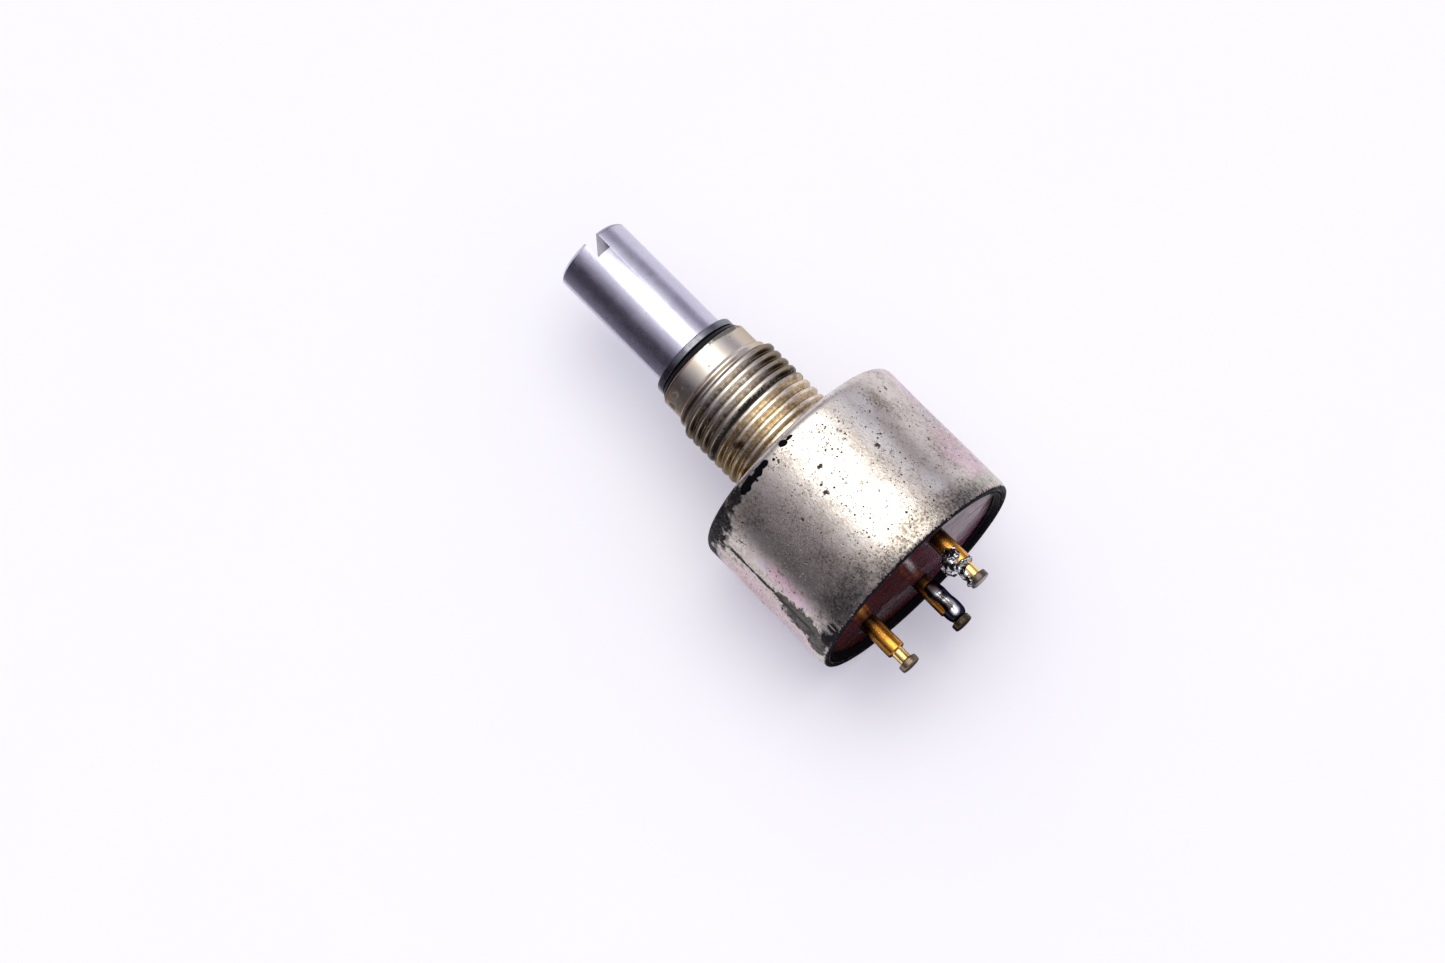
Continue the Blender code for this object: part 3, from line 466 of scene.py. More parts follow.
def goldPlate(node):
    look = goldFinish
    made, space = newFinish("gold plate " + node, {"Metallic": 1.0})
    place, along = space["Place"], space["Along"]
    cloudy = use(mottle, place, Scale=1.8, From=0.42, To=0.68)
    grainy = use(mottle, place, Scale=7.0, From=0.42, To=0.64)
    colour = overlay(times(cloudy, 0.45), look["gold"], look["amber"])
    # dark brown patches: painted shade on the lower side of the barrel and near its foot, with some tarnish
    tarnishedAndShaded = patches(space, look["tarnishAndShadePlaces"], grain=2.0, ragged=1.2, soft=0.8)
    colour = overlay(times(tarnishedAndShaded, 0.92), colour, look["tarnishAndShade"])
    # the sides of the barrel away from the top are painted darker as shade
    farSideShade = remap(space["Turn"], *look["farSideShade"], 0.0, 0.6)
    shaded = most(remap(space["Turn"], *look["nearSideShade"]), farSideShade)
    colour = overlay(times(shaded, 0.75), colour, look["tarnishAndShade"])
    # the neck is painted a brighter gold, partly wear and partly painted highlight
    neck = remap(along, look["neckFrom"], look["neckFrom"] - 0.15)
    colour = overlay(times(neck, 0.9), colour, look["bright"])
    crown = remap(along, *look["crown"])
    colour = overlay(times(crown, between(grainy, 0.86, 1.0)), colour, look["crowns"][node])
    edge = times(crown, remap(space["Radius"], *look["crownEdge"]))
    dots = use(specks, place, Scale=5.0, Size=0.34, Cover=0.4)
    # near black at the barrel's foot against the plate: painted shade
    base = remap(along, *look["base"])
    dark = most(times(dots, 0.7), times(base, 0.9), times(edge, 0.5))
    colour = overlay(dark, colour, look["sootAndShade"])
    rough = plus(between(cloudy, 0.19, 0.30), times(crown, 0.18))
    rough = minus(rough, times(neck, 0.06))
    marks = use(turning, place, PerMm=16.0)["Height"]
    height = minus(times(marks, 0.5), times(dots, 0.5))
    return dress(made, colour, rough, height, 0.012 * mm)


solderFinishes = dict(
    pale=(0.74, 0.74, 0.76, 1), crust=(0.012, 0.012, 0.014, 1), coat=(0.022, 0.022, 0.040, 1),
    coatEdge=(0.25, 0.25, 0.35, 1), facets=3.2, bright=(0.46, 0.53), top=(0.88, 1.0))


def crustySolder():
    look = solderFinishes
    made, space = newFinish("crusty solder", {"Metallic": 1.0})
    place, tree = space["Place"], made.node_tree
    cells = put(tree, "TexVoronoi", {"Vector": place, "Scale": look["facets"]}).outputs
    facet = put(tree, "SeparateColor", {0: cells["Color"]}).outputs[0]
    cloud = noisy(place, scale=1.6, detail=3.0)
    bright = remap(plus(times(facet, 0.35), times(cloud, 0.7)), *look["bright"])
    crumbs = noisy(place, scale=6.0, detail=5.0)
    colour = overlay(times(bright, remap(crumbs, 0.36, 0.55)), look["crust"], look["pale"])
    height = plus(crumbs, times(facet, 0.6))
    return dress(made, colour, between(bright, 0.5, 0.2), height, 0.05 * mm)


def smoothSolder():
    look = solderFinishes
    made, space = newFinish("smooth solder", {"Metallic": 1.0, "Specular Tint": look["coatEdge"]})
    place = space["Place"]
    cloud = noisy(place, scale=1.1, detail=3.0)
    # the top of the coat is painted pale as a highlight over the dark coat
    raised = plus(space["Height"], times(cloud, 0.2))
    bright = remap(raised, *look["top"])
    dots = use(specks, place, Scale=3.0, Size=0.4, Cover=0.4)
    bright = times(bright, between(dots, 1.0, 0.15))
    colour = overlay(bright, look["coat"], look["pale"])
    height = minus(cloud, times(dots, 0.2))
    return dress(made, colour, remap(cloud, 0.3, 0.7, 0.10, 0.20), height, 0.02 * mm)


plateFinish = dict(
    red=(0.082, 0.012, 0.012, 1), violet=(0.145, 0.048, 0.086, 1), brown=(0.028, 0.006, 0.006, 1),
    black=(0.006, 0.003, 0.003, 1), fluxAndShade=(1.75, 1.0), violetSheenSide=(2.0, -6.0), edge=(7.6, 8.6))


def redPhenolic():
    look = plateFinish
    made, space = newFinish("red phenolic", {"Specular IOR Level": 0.15})
    place, tree = space["Place"], made.node_tree
    side = axes(place)[1]
    drawing = {"Vector": place, "Rotation": (0.6, 0, 0), "Scale": (1, 0.5, 1.3)}
    drawn = put(tree, "Mapping", drawing).outputs[0]
    flow = use(mottle, drawn, Scale=0.8, From=0.36, To=0.66)
    colour = overlay(flow, look["red"], look["brown"])
    # a violet sheen is painted on one side of the plate: painted reflection
    violetSheen = use(mottle, place, Scale=0.45, From=0.3, To=0.6)
    violetSheen = times(violetSheen, remap(side, *look["violetSheenSide"]))
    colour = overlay(violetSheen, colour, look["violet"])
    fibre = use(scratches, place, Scale=2.0, From=0.62, Lie=(0.9, 0.2, 1.4))
    colour = overlay(times(fibre, 0.3), colour, look["black"])
    # the outer edge of the plate is painted near black, partly sealing compound and partly painted shade
    # under the rim
    edge = remap(space["Radius"], *look["edge"])
    colour = overlay(times(edge, 0.9), colour, look["black"])
    # near black round each terminal's foot: partly flux, partly painted shade
    for node in turretNodes:
        foot = sum(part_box(node), Vector()) / (2 * mm)
        level = put(tree, "VectorMath", {0: place, 1: (0, 1, 1)}, operation="MULTIPLY").outputs[0]
        apart = put(tree, "VectorMath", {0: level, 1: (0, foot.y, foot.z)}, operation="DISTANCE").outputs[1]
        fluxAndShade = remap(plus(apart, times(flow, 0.4)), *look["fluxAndShade"])
        colour = overlay(times(fluxAndShade, 0.9), colour, look["black"])
    rough = between(most(flow, fibre), 0.15, 0.30)
    ripple = noisy(place, scale=0.9, detail=2.0)
    return dress(made, colour, rough, minus(ripple, times(fibre, 0.05)), 0.03 * mm)


# Dull mouldings and rubber: two colours, low and high roughness, grain, depth of the grain, gloss
dullFinishes = {
    "black_rubber": ((0.006, 0.006, 0.008, 1), (0.018, 0.017, 0.019, 1), 0.36, 0.6, 6.0, 0.01 * mm, 0.15),
    "brown_phenolic": ((0.11, 0.045, 0.02, 1), (0.055, 0.02, 0.01, 1), 0.35, 0.55, 2.5, 0.02 * mm, 0.5),
    "liner_fibre": ((0.26, 0.18, 0.11, 1), (0.15, 0.10, 0.06, 1), 0.7, 0.9, 5.0, 0.03 * mm, 0.3),
    "moulded_carbon": ((0.020, 0.020, 0.022, 1), (0.045, 0.045, 0.048, 1), 0.4, 0.62, 8.0, 0.01 * mm, 0.5),
}


def dullMoulding(slot):
    base, flecked, smoothest, roughest, grain, depth, gloss = dullFinishes[slot]
    made, space = newFinish(slot.replace("_", " "), {"Specular IOR Level": gloss})
    place = space["Place"]
    cloudy = use(mottle, place, Scale=grain * 0.3, From=0.40, To=0.66)
    dots = use(specks, place, Scale=grain, Size=0.4, Cover=0.5)
    mixed = most(times(cloudy, 0.6), dots)
    skin = noisy(place, scale=grain * 2.0, detail=4.0)
    return dress(made, overlay(mixed, base, flecked), between(mixed, smoothest, roughest), skin, depth)


def tarFinish():
    made, space = newFinish("old sealing tar", {"Specular IOR Level": 0.02})
    place = space["Place"]
    crust = noisy(place, scale=6.0, detail=5.0)
    dusty = use(mottle, place, Scale=5.0, From=0.52, To=0.72)
    colour = overlay(dusty, (0.003, 0.003, 0.004, 1), (0.009, 0.008, 0.010, 1))
    return dress(made, colour, between(dusty, 0.35, 0.7), crust, 0.05 * mm)


finishes = {
    "plated_steel": platedSteel(),
    "nickel_brass": nickelBrass(),
    "shaft_steel": shaftSteel(),
    "red_phenolic": redPhenolic(),
}
finishes.update({slot: smallMetal(slot) for slot in metalFinishes})
finishes.update({slot: dullMoulding(slot) for slot in dullFinishes})
goldPlates = {node: goldPlate(node) for node in turretNodes}
finishes["gold_plate"] = goldPlates["end_terminal_b"]
finishes["old_solder"] = smoothSolder()
crust = crustySolder()
tar = tarFinish()
print("finishes:", len(bpy.data.materials), "materials")

for subpart in frame["record"]["subparts"]:
    node = frame["nodes"][subpart["node"]]
    node.data.materials.clear()
    node.data.materials.append(finishes[subpart["material_slot"]])


# Mesh helpers; outlines are (along, radius) round the X axis, and a corner also says how far it is rounded


def filleted(corners, steps=6):
    outline = []
    for i, (x, r, radius) in enumerate(corners):
        here = Vector((x, r))
        if not radius:
            outline.append(here)
            continue
        before = (Vector(corners[i - 1][:2]) - here).normalized()
        after = (Vector(corners[(i + 1) % len(corners)][:2]) - here).normalized()
        half = before.angle(after) / 2
        centre = here + (before + after).normalized() * (radius / math.sin(half))
        first = here + before * (radius / math.tan(half)) - centre
        last = here + after * (radius / math.tan(half)) - centre
        outline += [centre + first.lerp(last, k / steps).normalized() * radius for k in range(steps + 1)]
    return outline


def divided(outline, longest):
    finer = [outline[0]]
    for start, end in zip(outline, outline[1:]):
        parts = max(1, math.ceil((end - start).length / longest))
        finer += [start.lerp(end, (k + 1) / parts) for k in range(parts)]
    return finer


def ringPoint(x, radius, degrees):
    turn = math.radians(degrees)
    return Vector((x, radius * math.cos(turn), radius * math.sin(turn)))


def outward(point):
    return Vector((0, point.y, point.z))


def evenly(count):
    return [360 * k / count for k in range(count)]


def spun(outline, angles, closed=False, warp=None):
    bm = bmesh.new()
    rings = []
    for x, r in outline:
        here = angles if r > 1e-9 else angles[:1]  # on the axis one point is enough
        points = [ringPoint(x, r, degrees) for degrees in here]
        rings.append([bm.verts.new(warp(point) if warp else point) for point in points])
    pairs = list(zip(rings, rings[1:]))
    if closed:
        pairs.append((rings[-1], rings[0]))
    for first, second in pairs:
        for k in range(len(angles)):
            after = k + 1
            corners = [first[k % len(first)], first[after % len(first)],
                       second[after % len(second)], second[k % len(second)]]
            bm.faces.new(dict.fromkeys(corners))
    return bm


def shown(name, bm):
    mesh = bpy.data.meshes.new(name)
    bm.to_mesh(mesh)
    bm.free()
    made = bpy.data.objects.new(name, mesh)
    bpy.context.scene.collection.objects.link(made)
    return made


def smoothed(made, sharp):
    made.data.shade_smooth()
    made.data.set_sharp_from_angle(angle=math.radians(sharp))


sharpEdge = 38


def piece(name, bm, body, slot, stands, finish=None, sharp=sharpEdge, centre=None):
    bmesh.ops.recalc_face_normals(bm, faces=bm.faces)
    made = shown(name, bm)
    smoothed(made, sharp)
    made.data.materials.append(finish or finishes[slot])
    if centre is not None:
        made.location = outward(centre)
    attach(made, body)
    if stands:
        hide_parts(stands)
    return made


def applyAll(target):
    depsgraph = bpy.context.evaluated_depsgraph_get()
    mesh = bpy.data.meshes.new_from_object(target.evaluated_get(depsgraph))
    target.modifiers.clear()
    old = target.data
    target.data = mesh
    bpy.data.meshes.remove(old)


def cut(target, bm):
    bmesh.ops.recalc_face_normals(bm, faces=bm.faces)
    cutter = shown("cutter", bm)
    step = target.modifiers.new("cut", "BOOLEAN")
    step.operation = "DIFFERENCE"
    step.object = cutter
    applyAll(target)
    mesh = cutter.data
    bpy.data.objects.remove(cutter)
    bpy.data.meshes.remove(mesh)


def block(low, high):
    bm = bmesh.new()
    size = Matrix.Diagonal((*(high - low), 1))
    bmesh.ops.create_cube(bm, size=1, matrix=Matrix.Translation((low + high) / 2) @ size)
    return bm


def soften(target, width):
    step = target.modifiers.new("soft edges", "BEVEL")
    step.width = width
    step.segments = 3
    step.limit_method = "ANGLE"
    step.angle_limit = math.radians(sharpEdge)
    applyAll(target)
    smoothed(target, sharpEdge)


# Can; the columns to each side of its crease stand closer, a step of degrees apart
can = dict(
    inMm(wall=0.5, corner=0.8, insideRound=0.3, holeGap=0.05, holeRound=0.06, rimLength=0.8, rimTurnIn=0.25,
         lip=0.16, longest=0.3, dentDepth=0.05, dentSize=5.0, creaseFrom=-2.4, creaseTo=-11.4,
         creaseFade=0.5, creaseDepth=0.05, creaseWidth=0.06), rimSteps=8, columns=240, creaseTurn=17,
    creaseColumns=12, creaseStep=0.12, creaseClear=1.6)


def buildCan():
    low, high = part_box("housing_can")
    radius, back = high.z, low.x
    inside = radius - can["wall"]
    hole = bushing["threadDiameter"] / 2 + can["holeGap"]
    rimStart = back + can["rimLength"]
    rolled = []
    for k in range(can["rimSteps"] + 1):
        share = k / can["rimSteps"]
        rolled.append((rimStart - can["rimLength"] * share, can["rimTurnIn"] * (1 - math.sqrt(1 - share**2))))
    corners = [(-can["wall"], hole, 0), (0, hole, can["holeRound"]), (0, radius, can["corner"])]
    corners += [(x, radius - drop, 0) for x, drop in rolled[:-1]]
    corners += [(back, radius - can["rimTurnIn"], can["lip"]), (back, inside - can["rimTurnIn"], can["lip"])]
    corners += [(x, inside - drop, 0) for x, drop in rolled[-2::-1]]
    corners += [(-can["wall"], inside, can["insideRound"])]
    outline = divided(filleted(corners), can["longest"])
    crease = math.radians(can["creaseTurn"])

    def warp(point):
        away = outward(point)
        if away.length < inside:
            return point
        dent = can["dentDepth"] * max(0.0, noise.noise(point / can["dentSize"]))
        aside = (math.atan2(point.z, point.y) - crease) * radius
        along = min(point.x - can["creaseTo"], can["creaseFrom"] - point.x) / can["creaseFade"]
        groove = can["creaseDepth"] * math.exp(-((aside / can["creaseWidth"]) ** 2)) * min(max(along, 0), 1)
        return point - away.normalized() * (dent + groove)

    near = range(-can["creaseColumns"], can["creaseColumns"] + 1)
    angles = [can["creaseTurn"] + can["creaseStep"] * k for k in near]
    angles += [a for a in evenly(can["columns"]) if abs(a - can["creaseTurn"]) > can["creaseClear"]]
    bm = spun(outline, sorted(angles), closed=True, warp=warp)
    piece("can_shell", bm, "housing", "plated_steel", "housing_can")


# Bushing
bushing = dict(
    inMm(threadDiameter=9.45, threadDepth=0.38, crest=0.22, root=0.08, runOutRound=0.05, neckLength=2.1,
         neckDiameter=8.21, neckRound=0.08, mouthRound=0.12, boreDiameter=6.47, flangeThickness=1.0,
         flangeRound=0.1, nickDepth=0.03, nickSize=0.35), pitch=inch / 32, straight=0.65, turns=8.5,
    startTurn=-42, fadeTurns=0.35, nickFrom=0.1, columns=168, rowsPerPitch=22, sharp=50)


def threadHeight(x, degrees, threadFront):
    around = ((bushing["startTurn"] - degrees) / 360) % 1
    turns = (threadFront - x) / bushing["pitch"] - around
    if turns < 0 or turns + around > bushing["turns"] + 1:
        return 0
    whole = math.floor(turns)
    within = (turns - whole) * bushing["pitch"]
    flank = (bushing["pitch"] - bushing["crest"] - bushing["root"]) / 2
    rise = min(within / flank, (bushing["pitch"] - bushing["root"] - within) / flank, 1)
    rise = max(rise, 0)
    rounded = rise * rise * (3 - 2 * rise)
    done = whole + around
    fade = min(done, bushing["turns"] - done) / bushing["fadeTurns"]
    return (bushing["straight"] * rise + (1 - bushing["straight"]) * rounded) * min(max(fade, 0), 1)


def buildBushing():
    low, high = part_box("threaded_bushing")
    front, back, flangeRadius = high.x, low.x, high.z
    neck, bore = bushing["neckDiameter"] / 2, bushing["boreDiameter"] / 2
    crest = bushing["threadDiameter"] / 2
    root = crest - bushing["threadDepth"]
    threadFront = front - bushing["neckLength"]
    threadBack = threadFront - (bushing["turns"] + 1) * bushing["pitch"]
    flangeFront = back + bushing["flangeThickness"]
    flange = bushing["flangeRound"]
    before = filleted([(front, bore, 0), (front, neck, bushing["mouthRound"]),
                       (threadFront + root - neck, neck, bushing["neckRound"]), (threadFront, root, 0)])
    rows = round((bushing["turns"] + 1) * bushing["rowsPerPitch"])
    thread = [Vector((threadFront + (threadBack - threadFront) * k / rows, root)) for k in range(1, rows + 1)]
    after = filleted([(threadBack, root, 0),
                      (threadBack - bushing["threadDepth"], crest, bushing["runOutRound"]),
                      (flangeFront, crest, 0), (flangeFront, flangeRadius, flange),
                      (back, flangeRadius, flange), (back, bore, 0)])

    def warp(point):
        away = outward(point)
        degrees = math.degrees(math.atan2(point.z, point.y))
        threaded = threadBack < point.x < threadFront
        if not threaded or abs(away.length - root) > 1e-7:  # all but the root of the thread stays
            return point
        share = threadHeight(point.x, degrees, threadFront)
        nicked = max(0.0, noise.noise(point / bushing["nickSize"]) - bushing["nickFrom"])
        nick = bushing["nickDepth"] * nicked * share
        return point + away.normalized() * (bushing["threadDepth"] * share - nick)

    bm = spun(before + thread + after[1:], evenly(bushing["columns"]), closed=True, warp=warp)
    piece("bushing", bm, "housing", "nickel_brass", "threaded_bushing", sharp=bushing["sharp"])


# Shaft with its slot, ring groove, collar and flats
shaft = dict(
    inMm(tipChamfer=0.25, tipRound=0.04, chamferRound=0.05, grooveDepth=0.55, grooveGap=0.05,
         grooveRound=0.02, oRingBed=2.32, oRingHalf=0.55, collarDiameter=7.25, collarLength=0.8,
         washerGap=0.06, tangDiameter=4.0, tangFlats=3.0, tangRound=0.1, tangGap=0.05, edge=0.035,
         cutPast=1), diameter=0.25 * inch, slotWidth=3 / 64 * inch, slotDepth=1 / 16 * inch, columns=144)


def buildShaft():
    low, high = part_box("shaft")
    ringLow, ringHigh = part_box("retaining_ring")
    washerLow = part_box("thrust_washer")[0]
    oRingLow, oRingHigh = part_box("shaft_o_ring")
    radius, tang, collar = shaft["diameter"] / 2, shaft["tangDiameter"] / 2, shaft["collarDiameter"] / 2
    groove, lip = radius - shaft["grooveDepth"], shaft["grooveRound"]
    grooveFront, grooveBack = ringHigh.x + shaft["grooveGap"], ringLow.x - shaft["grooveGap"]
    oRing, bed = (oRingLow.x + oRingHigh.x) / 2, shaft["oRingBed"]
    bedFront, bedBack = oRing + shaft["oRingHalf"], oRing - shaft["oRingHalf"]
    collarFront = washerLow.x - shaft["washerGap"]
    collarBack = collarFront - shaft["collarLength"]
    corners = [(high.x, 0, 0), (high.x, radius - shaft["tipChamfer"], shaft["tipRound"]),
               (high.x - shaft["tipChamfer"], radius, shaft["chamferRound"]),
               (grooveFront, radius, lip), (grooveFront, groove, 0), (grooveBack, groove, 0),
               (grooveBack, radius, lip), (bedFront, radius, 0), (bedFront, bed, 0), (bedBack, bed, 0),
               (bedBack, radius, 0), (collarFront, radius, 0), (collarFront, collar, 0),
               (collarBack, collar, 0), (collarBack, tang, 0), (low.x, tang, shaft["tangRound"]),
               (low.x, 0, 0)]
    bm = spun(filleted(corners, 3), evenly(shaft["columns"]))
    made = piece("shaft_rod", bm, "rotor", "shaft_steel", "shaft")
    half, over = shaft["slotWidth"] / 2, shaft["cutPast"]
    past = radius + over
    cut(made, block(Vector((high.x - shaft["slotDepth"], -half, -past)), Vector((high.x + over, half, past))))
    for side in (-1, 1):
        near, far = sorted((side * shaft["tangFlats"] / 2, side * past))
        end = collarBack - shaft["tangGap"]
        cut(made, block(Vector((low.x - over, near, -past)), Vector((end, far, past))))
    soften(made, shaft["edge"])


# Retaining ring, an open ring of rounded strip; its opening faces down
ring = dict(opening=60, columns=120, round=0.1 * mm)


def buildRing():
    low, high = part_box("retaining_ring")
    outer = high.z
    inner = shaft["diameter"] / 2 - shaft["grooveDepth"] + shaft["grooveGap"]
    shadedSides = [(low.x, inner), (low.x, outer), (high.x, outer), (high.x, inner)]
    section = filleted([(x, r, ring["round"]) for x, r in shadedSides], 4)
    start = 270 + ring["opening"] / 2
    sweep = 360 - ring["opening"]
    bm = bmesh.new()
    slices = []
    for k in range(ring["columns"] + 1):
        turn = start + sweep * k / ring["columns"]
        slices.append([bm.verts.new(ringPoint(x, r, turn)) for x, r in section])
    count = len(section)
    for first, second in zip(slices, slices[1:]):
        for k in range(count):
            after = (k + 1) % count
            bm.faces.new((first[k], first[after], second[after], second[k]))
    bm.faces.new(slices[0])
    bm.faces.new(slices[-1])
    piece("snap_ring", bm, "rotor", "spring_steel", "retaining_ring")


# Black lip seal between the bushing's mouth and the ring
seal = dict(inMm(bore=3.235, frontRadius=3.68, round=0.1, boreRound=0.03), columns=120)


def buildSeal():
    low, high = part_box("shaft_seal")
    corners = [(low.x, seal["bore"], seal["boreRound"]), (low.x, high.z, seal["round"]),
               (high.x, seal["frontRadius"], seal["round"]), (high.x, seal["bore"], seal["boreRound"])]
    bm = spun(filleted(corners, 4), evenly(seal["columns"]), closed=True)
    piece("lip_seal", bm, "housing", "black_rubber", "shaft_seal")


# Rear plate
plate = dict(
    inMm(edgeRound=0.12, sealDepth=0.95, sealHalf=0.55, shankHole=0.6, cutPast=1), columns=200,
    holeColumns=32)


def buildPlate():
    low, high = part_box("terminal_plate")
    sealLow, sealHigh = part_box("plate_seal")
    edge, sealAt = high.z, (sealLow.x + sealHigh.x) / 2
    bed = edge - plate["sealDepth"]
    bedFront, bedBack = sealAt + plate["sealHalf"], sealAt - plate["sealHalf"]
    corners = [(high.x, 0, 0), (high.x, edge, plate["edgeRound"]), (bedFront, edge, 0), (bedFront, bed, 0),
               (bedBack, bed, 0), (bedBack, edge, 0), (low.x, edge, plate["edgeRound"]), (low.x, 0, 0)]
    bm = spun(filleted(corners, 4), evenly(plate["columns"]))
    made = piece("rear_plate", bm, "housing", "red_phenolic", "terminal_plate")
    for node in turretNodes:
        centre = sum(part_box(node), Vector()) / 2
        front, back, around = high.x + plate["cutPast"], low.x - plate["cutPast"], plate["shankHole"]
        hole = spun([Vector(spot) for spot in ((front, 0), (front, around), (back, around), (back, 0))],
                    evenly(plate["holeColumns"]))
        bmesh.ops.translate(hole, verts=hole.verts, vec=outward(centre))
        cut(made, hole)


# Black sealing compound where the plate meets the rolled rim
sealant = dict(
    inMm(width=0.55, below=0.06, gap=0.02, wallGap=0.03, sag=0.12, sagRound=0.2, footRound=0.04,
         lipRound=0.03, wave=0.12, waveSize=1.6, stillFrom=0.05), columns=160)


def buildSealant():
    plateLow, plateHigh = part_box("terminal_plate")
    canLow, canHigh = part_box("housing_can")
    face = plateLow.x - sealant["gap"]
    back = canLow.x + sealant["below"]
    mouth = canHigh.z - can["wall"] - can["rimTurnIn"] - sealant["gap"]
    wall = plateHigh.z - sealant["gap"]
    corners = [(face, mouth - sealant["width"], sealant["footRound"]), (face, wall, 0),
               (back + can["rimLength"] / 2, wall - sealant["wallGap"], 0),
               (back, mouth, sealant["lipRound"]),
               (face - sealant["sag"], mouth - sealant["width"] / 2, sealant["sagRound"])]

    def warp(point):
        away = outward(point)
        if away.length > mouth - sealant["stillFrom"]:
            return point
        return point + away.normalized() * sealant["wave"] * noise.noise(point / sealant["waveSize"])

    bm = spun(filleted(corners, 4), evenly(sealant["columns"]), closed=True, warp=warp)
    piece("edge_sealant", bm, "housing", "black_rubber", None, finish=tar)


# Turret terminals
terminals = dict(
    inMm(head=0.9, headThickness=0.35, shank=0.55, barrel=0.77, neck=0.5, crown=0.8, crownLength=0.55,
         neckLength=1.05, barrelGap=0.05, edgeRound=0.12, footRound=0.04, neckRound=0.1, crownRound=0.07),
    columns=64)


def buildTerminal(node):
    low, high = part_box(node)
    head, shank, barrel = terminals["head"], terminals["shank"], terminals["barrel"]
    neck, crown = terminals["neck"], terminals["crown"]
    crownFront = low.x + terminals["crownLength"]
    barrelBack = crownFront + terminals["neckLength"]
    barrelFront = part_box("terminal_plate")[0].x - terminals["barrelGap"]
    headBack = high.x - terminals["headThickness"]
    edge, bend = terminals["edgeRound"], terminals["neckRound"]
    corners = [(high.x, 0, 0), (high.x, head, edge), (headBack, head, 0), (headBack, shank, 0),
               (barrelFront, shank, 0), (barrelFront, barrel, terminals["footRound"]),
               (barrelBack, barrel, edge), (barrelBack, neck, bend), (crownFront, neck, bend),
               (crownFront, crown, terminals["crownRound"]), (low.x, crown, edge), (low.x, 0, 0)]
    bm = spun(filleted(corners, 5), evenly(terminals["columns"]))
    centre = (low + high) / 2
    piece(node + "_turret", bm, "housing", "gold_plate", node, finish=goldPlates[node], centre=centre)


# Crusty solder on the wiper terminal, fused from a few lumps given in millimetres: centre, radii, tilt
wiperSolder = dict(
    lumps=[((-14.55, 0.22, 0.20), (1.00, 0.70, 0.72), 0), ((-14.95, 0.80, -0.02), (0.80, 0.62, 0.66), 10),
           ((-14.75, 1.12, -0.08), (0.46, 0.36, 0.45), -20),
           ((-15.30, 0.98, -0.10), (0.50, 0.42, 0.50), 25), ((-15.55, 0.10, 0.08), (0.42, 0.88, 0.86), 0),
           ((-16.20, 0.46, -0.05), (0.72, 0.34, 0.50), 0), ((-16.90, 0.56, -0.05), (0.34, 0.36, 0.60), 20)],
    fineness=4, roughen=0.16, grain=0.30, voxel=0.045, easing=0.5)


def buildLump():
    bm = bmesh.new()
    for place, radii, tilt in wiperSolder["lumps"]:
        verts = bmesh.ops.create_icosphere(bm, subdivisions=wiperSolder["fineness"], radius=1)["verts"]
        shape = Matrix.LocRotScale(Vector(place), Euler((0, 0, math.radians(tilt))), Vector(radii))
        for vert in verts:
            point = shape @ vert.co
            bulge = noise.noise(point / wiperSolder["grain"]) * wiperSolder["roughen"]
            vert.co = point + (point - Vector(place)).normalized() * bulge
    made = piece("wiper_solder_lump", bm, "housing", "old_solder", None, finish=crust)
    remesh = made.modifiers.new("fuse", "REMESH")
    remesh.mode = "VOXEL"
    remesh.voxel_size = wiperSolder["voxel"]
    ease = made.modifiers.new("ease", "SMOOTH")
    ease.factor = wiperSolder["easing"]
    ease.iterations = 1
    applyAll(made)
    centre = sum(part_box("wiper_terminal"), Vector()) / 2
    made.data.transform(Matrix.Translation(outward(centre)) @ Matrix.Scale(mm, 4))
    made.data.shade_smooth()
    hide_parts("wiper_solder")


# Smooth solder that has run over one side of its terminal: knots of (along, radius) in millimetres
endCoat = dict(
    inMm(settle=1.2, wobble=0.05, grain=0.8),
    knots=[(-13.05, 0.0), (-13.06, 0.40), (-13.15, 0.66), (-13.45, 0.76), (-14.1, 0.77), (-14.9, 0.76),
           (-15.6, 0.78), (-16.1, 0.80), (-16.5, 0.74), (-16.78, 0.56), (-16.92, 0.30), (-16.96, 0.0)],
    aside=Vector((0, -0.14, 0.13)) * mm, smooth=5, columns=72, sharp=80)


def smoothLine(knots, steps):
    line = []
    ends = [knots[0]] + knots + [knots[-1]]
    for a, b, c, d in zip(ends, ends[1:], ends[2:], ends[3:]):
        square = 2 * a - 5 * b + 4 * c - d
        cube = 3 * b - a - 3 * c + d
        for k in range(steps):
            t = k / steps
            line.append(0.5 * (2 * b + (c - a) * t + square * t**2 + cube * t**3))
    return line + [knots[-1]]


def buildCoat():
    knots = [Vector(knot) * mm for knot in endCoat["knots"]]

    def warp(point):
        share = min((knots[0].x - point.x) / endCoat["settle"], 1)
        bulge = endCoat["wobble"] * noise.noise(point / endCoat["grain"])
        return point + endCoat["aside"] * share + outward(point).normalized() * bulge

    outline = [Vector((knot.x, max(knot.y, 0))) for knot in smoothLine(knots, endCoat["smooth"])]
    bm = spun(outline, evenly(endCoat["columns"]), warp=warp)
    centre = sum(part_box("end_terminal_a"), Vector()) / 2
    piece("end_solder_coat", bm, "housing", "old_solder", "end_solder", sharp=endCoat["sharp"], centre=centre)


# Flecks of black sealing tar on the front corner of the can, in degrees and millimetres: turn, how far round
# the corner (past 1 on the can's side), length, width
flecks = dict(
    places=[(-40, 1.08, 0.56, 0.32), (-36, 1.00, 0.72, 0.34), (-31, 1.04, 0.60, 0.32),
            (-26, 0.98, 0.46, 0.22), (-13, 0.92, 0.34, 0.26), (-9, 0.95, 0.30, 0.14), (-21, 1.2, 0.12, 0.1),
            (-33, 1.3, 0.10, 0.12)], thickness=0.07, ragged=0.42, grain=0.4, fineness=4, sideStep=1.6)


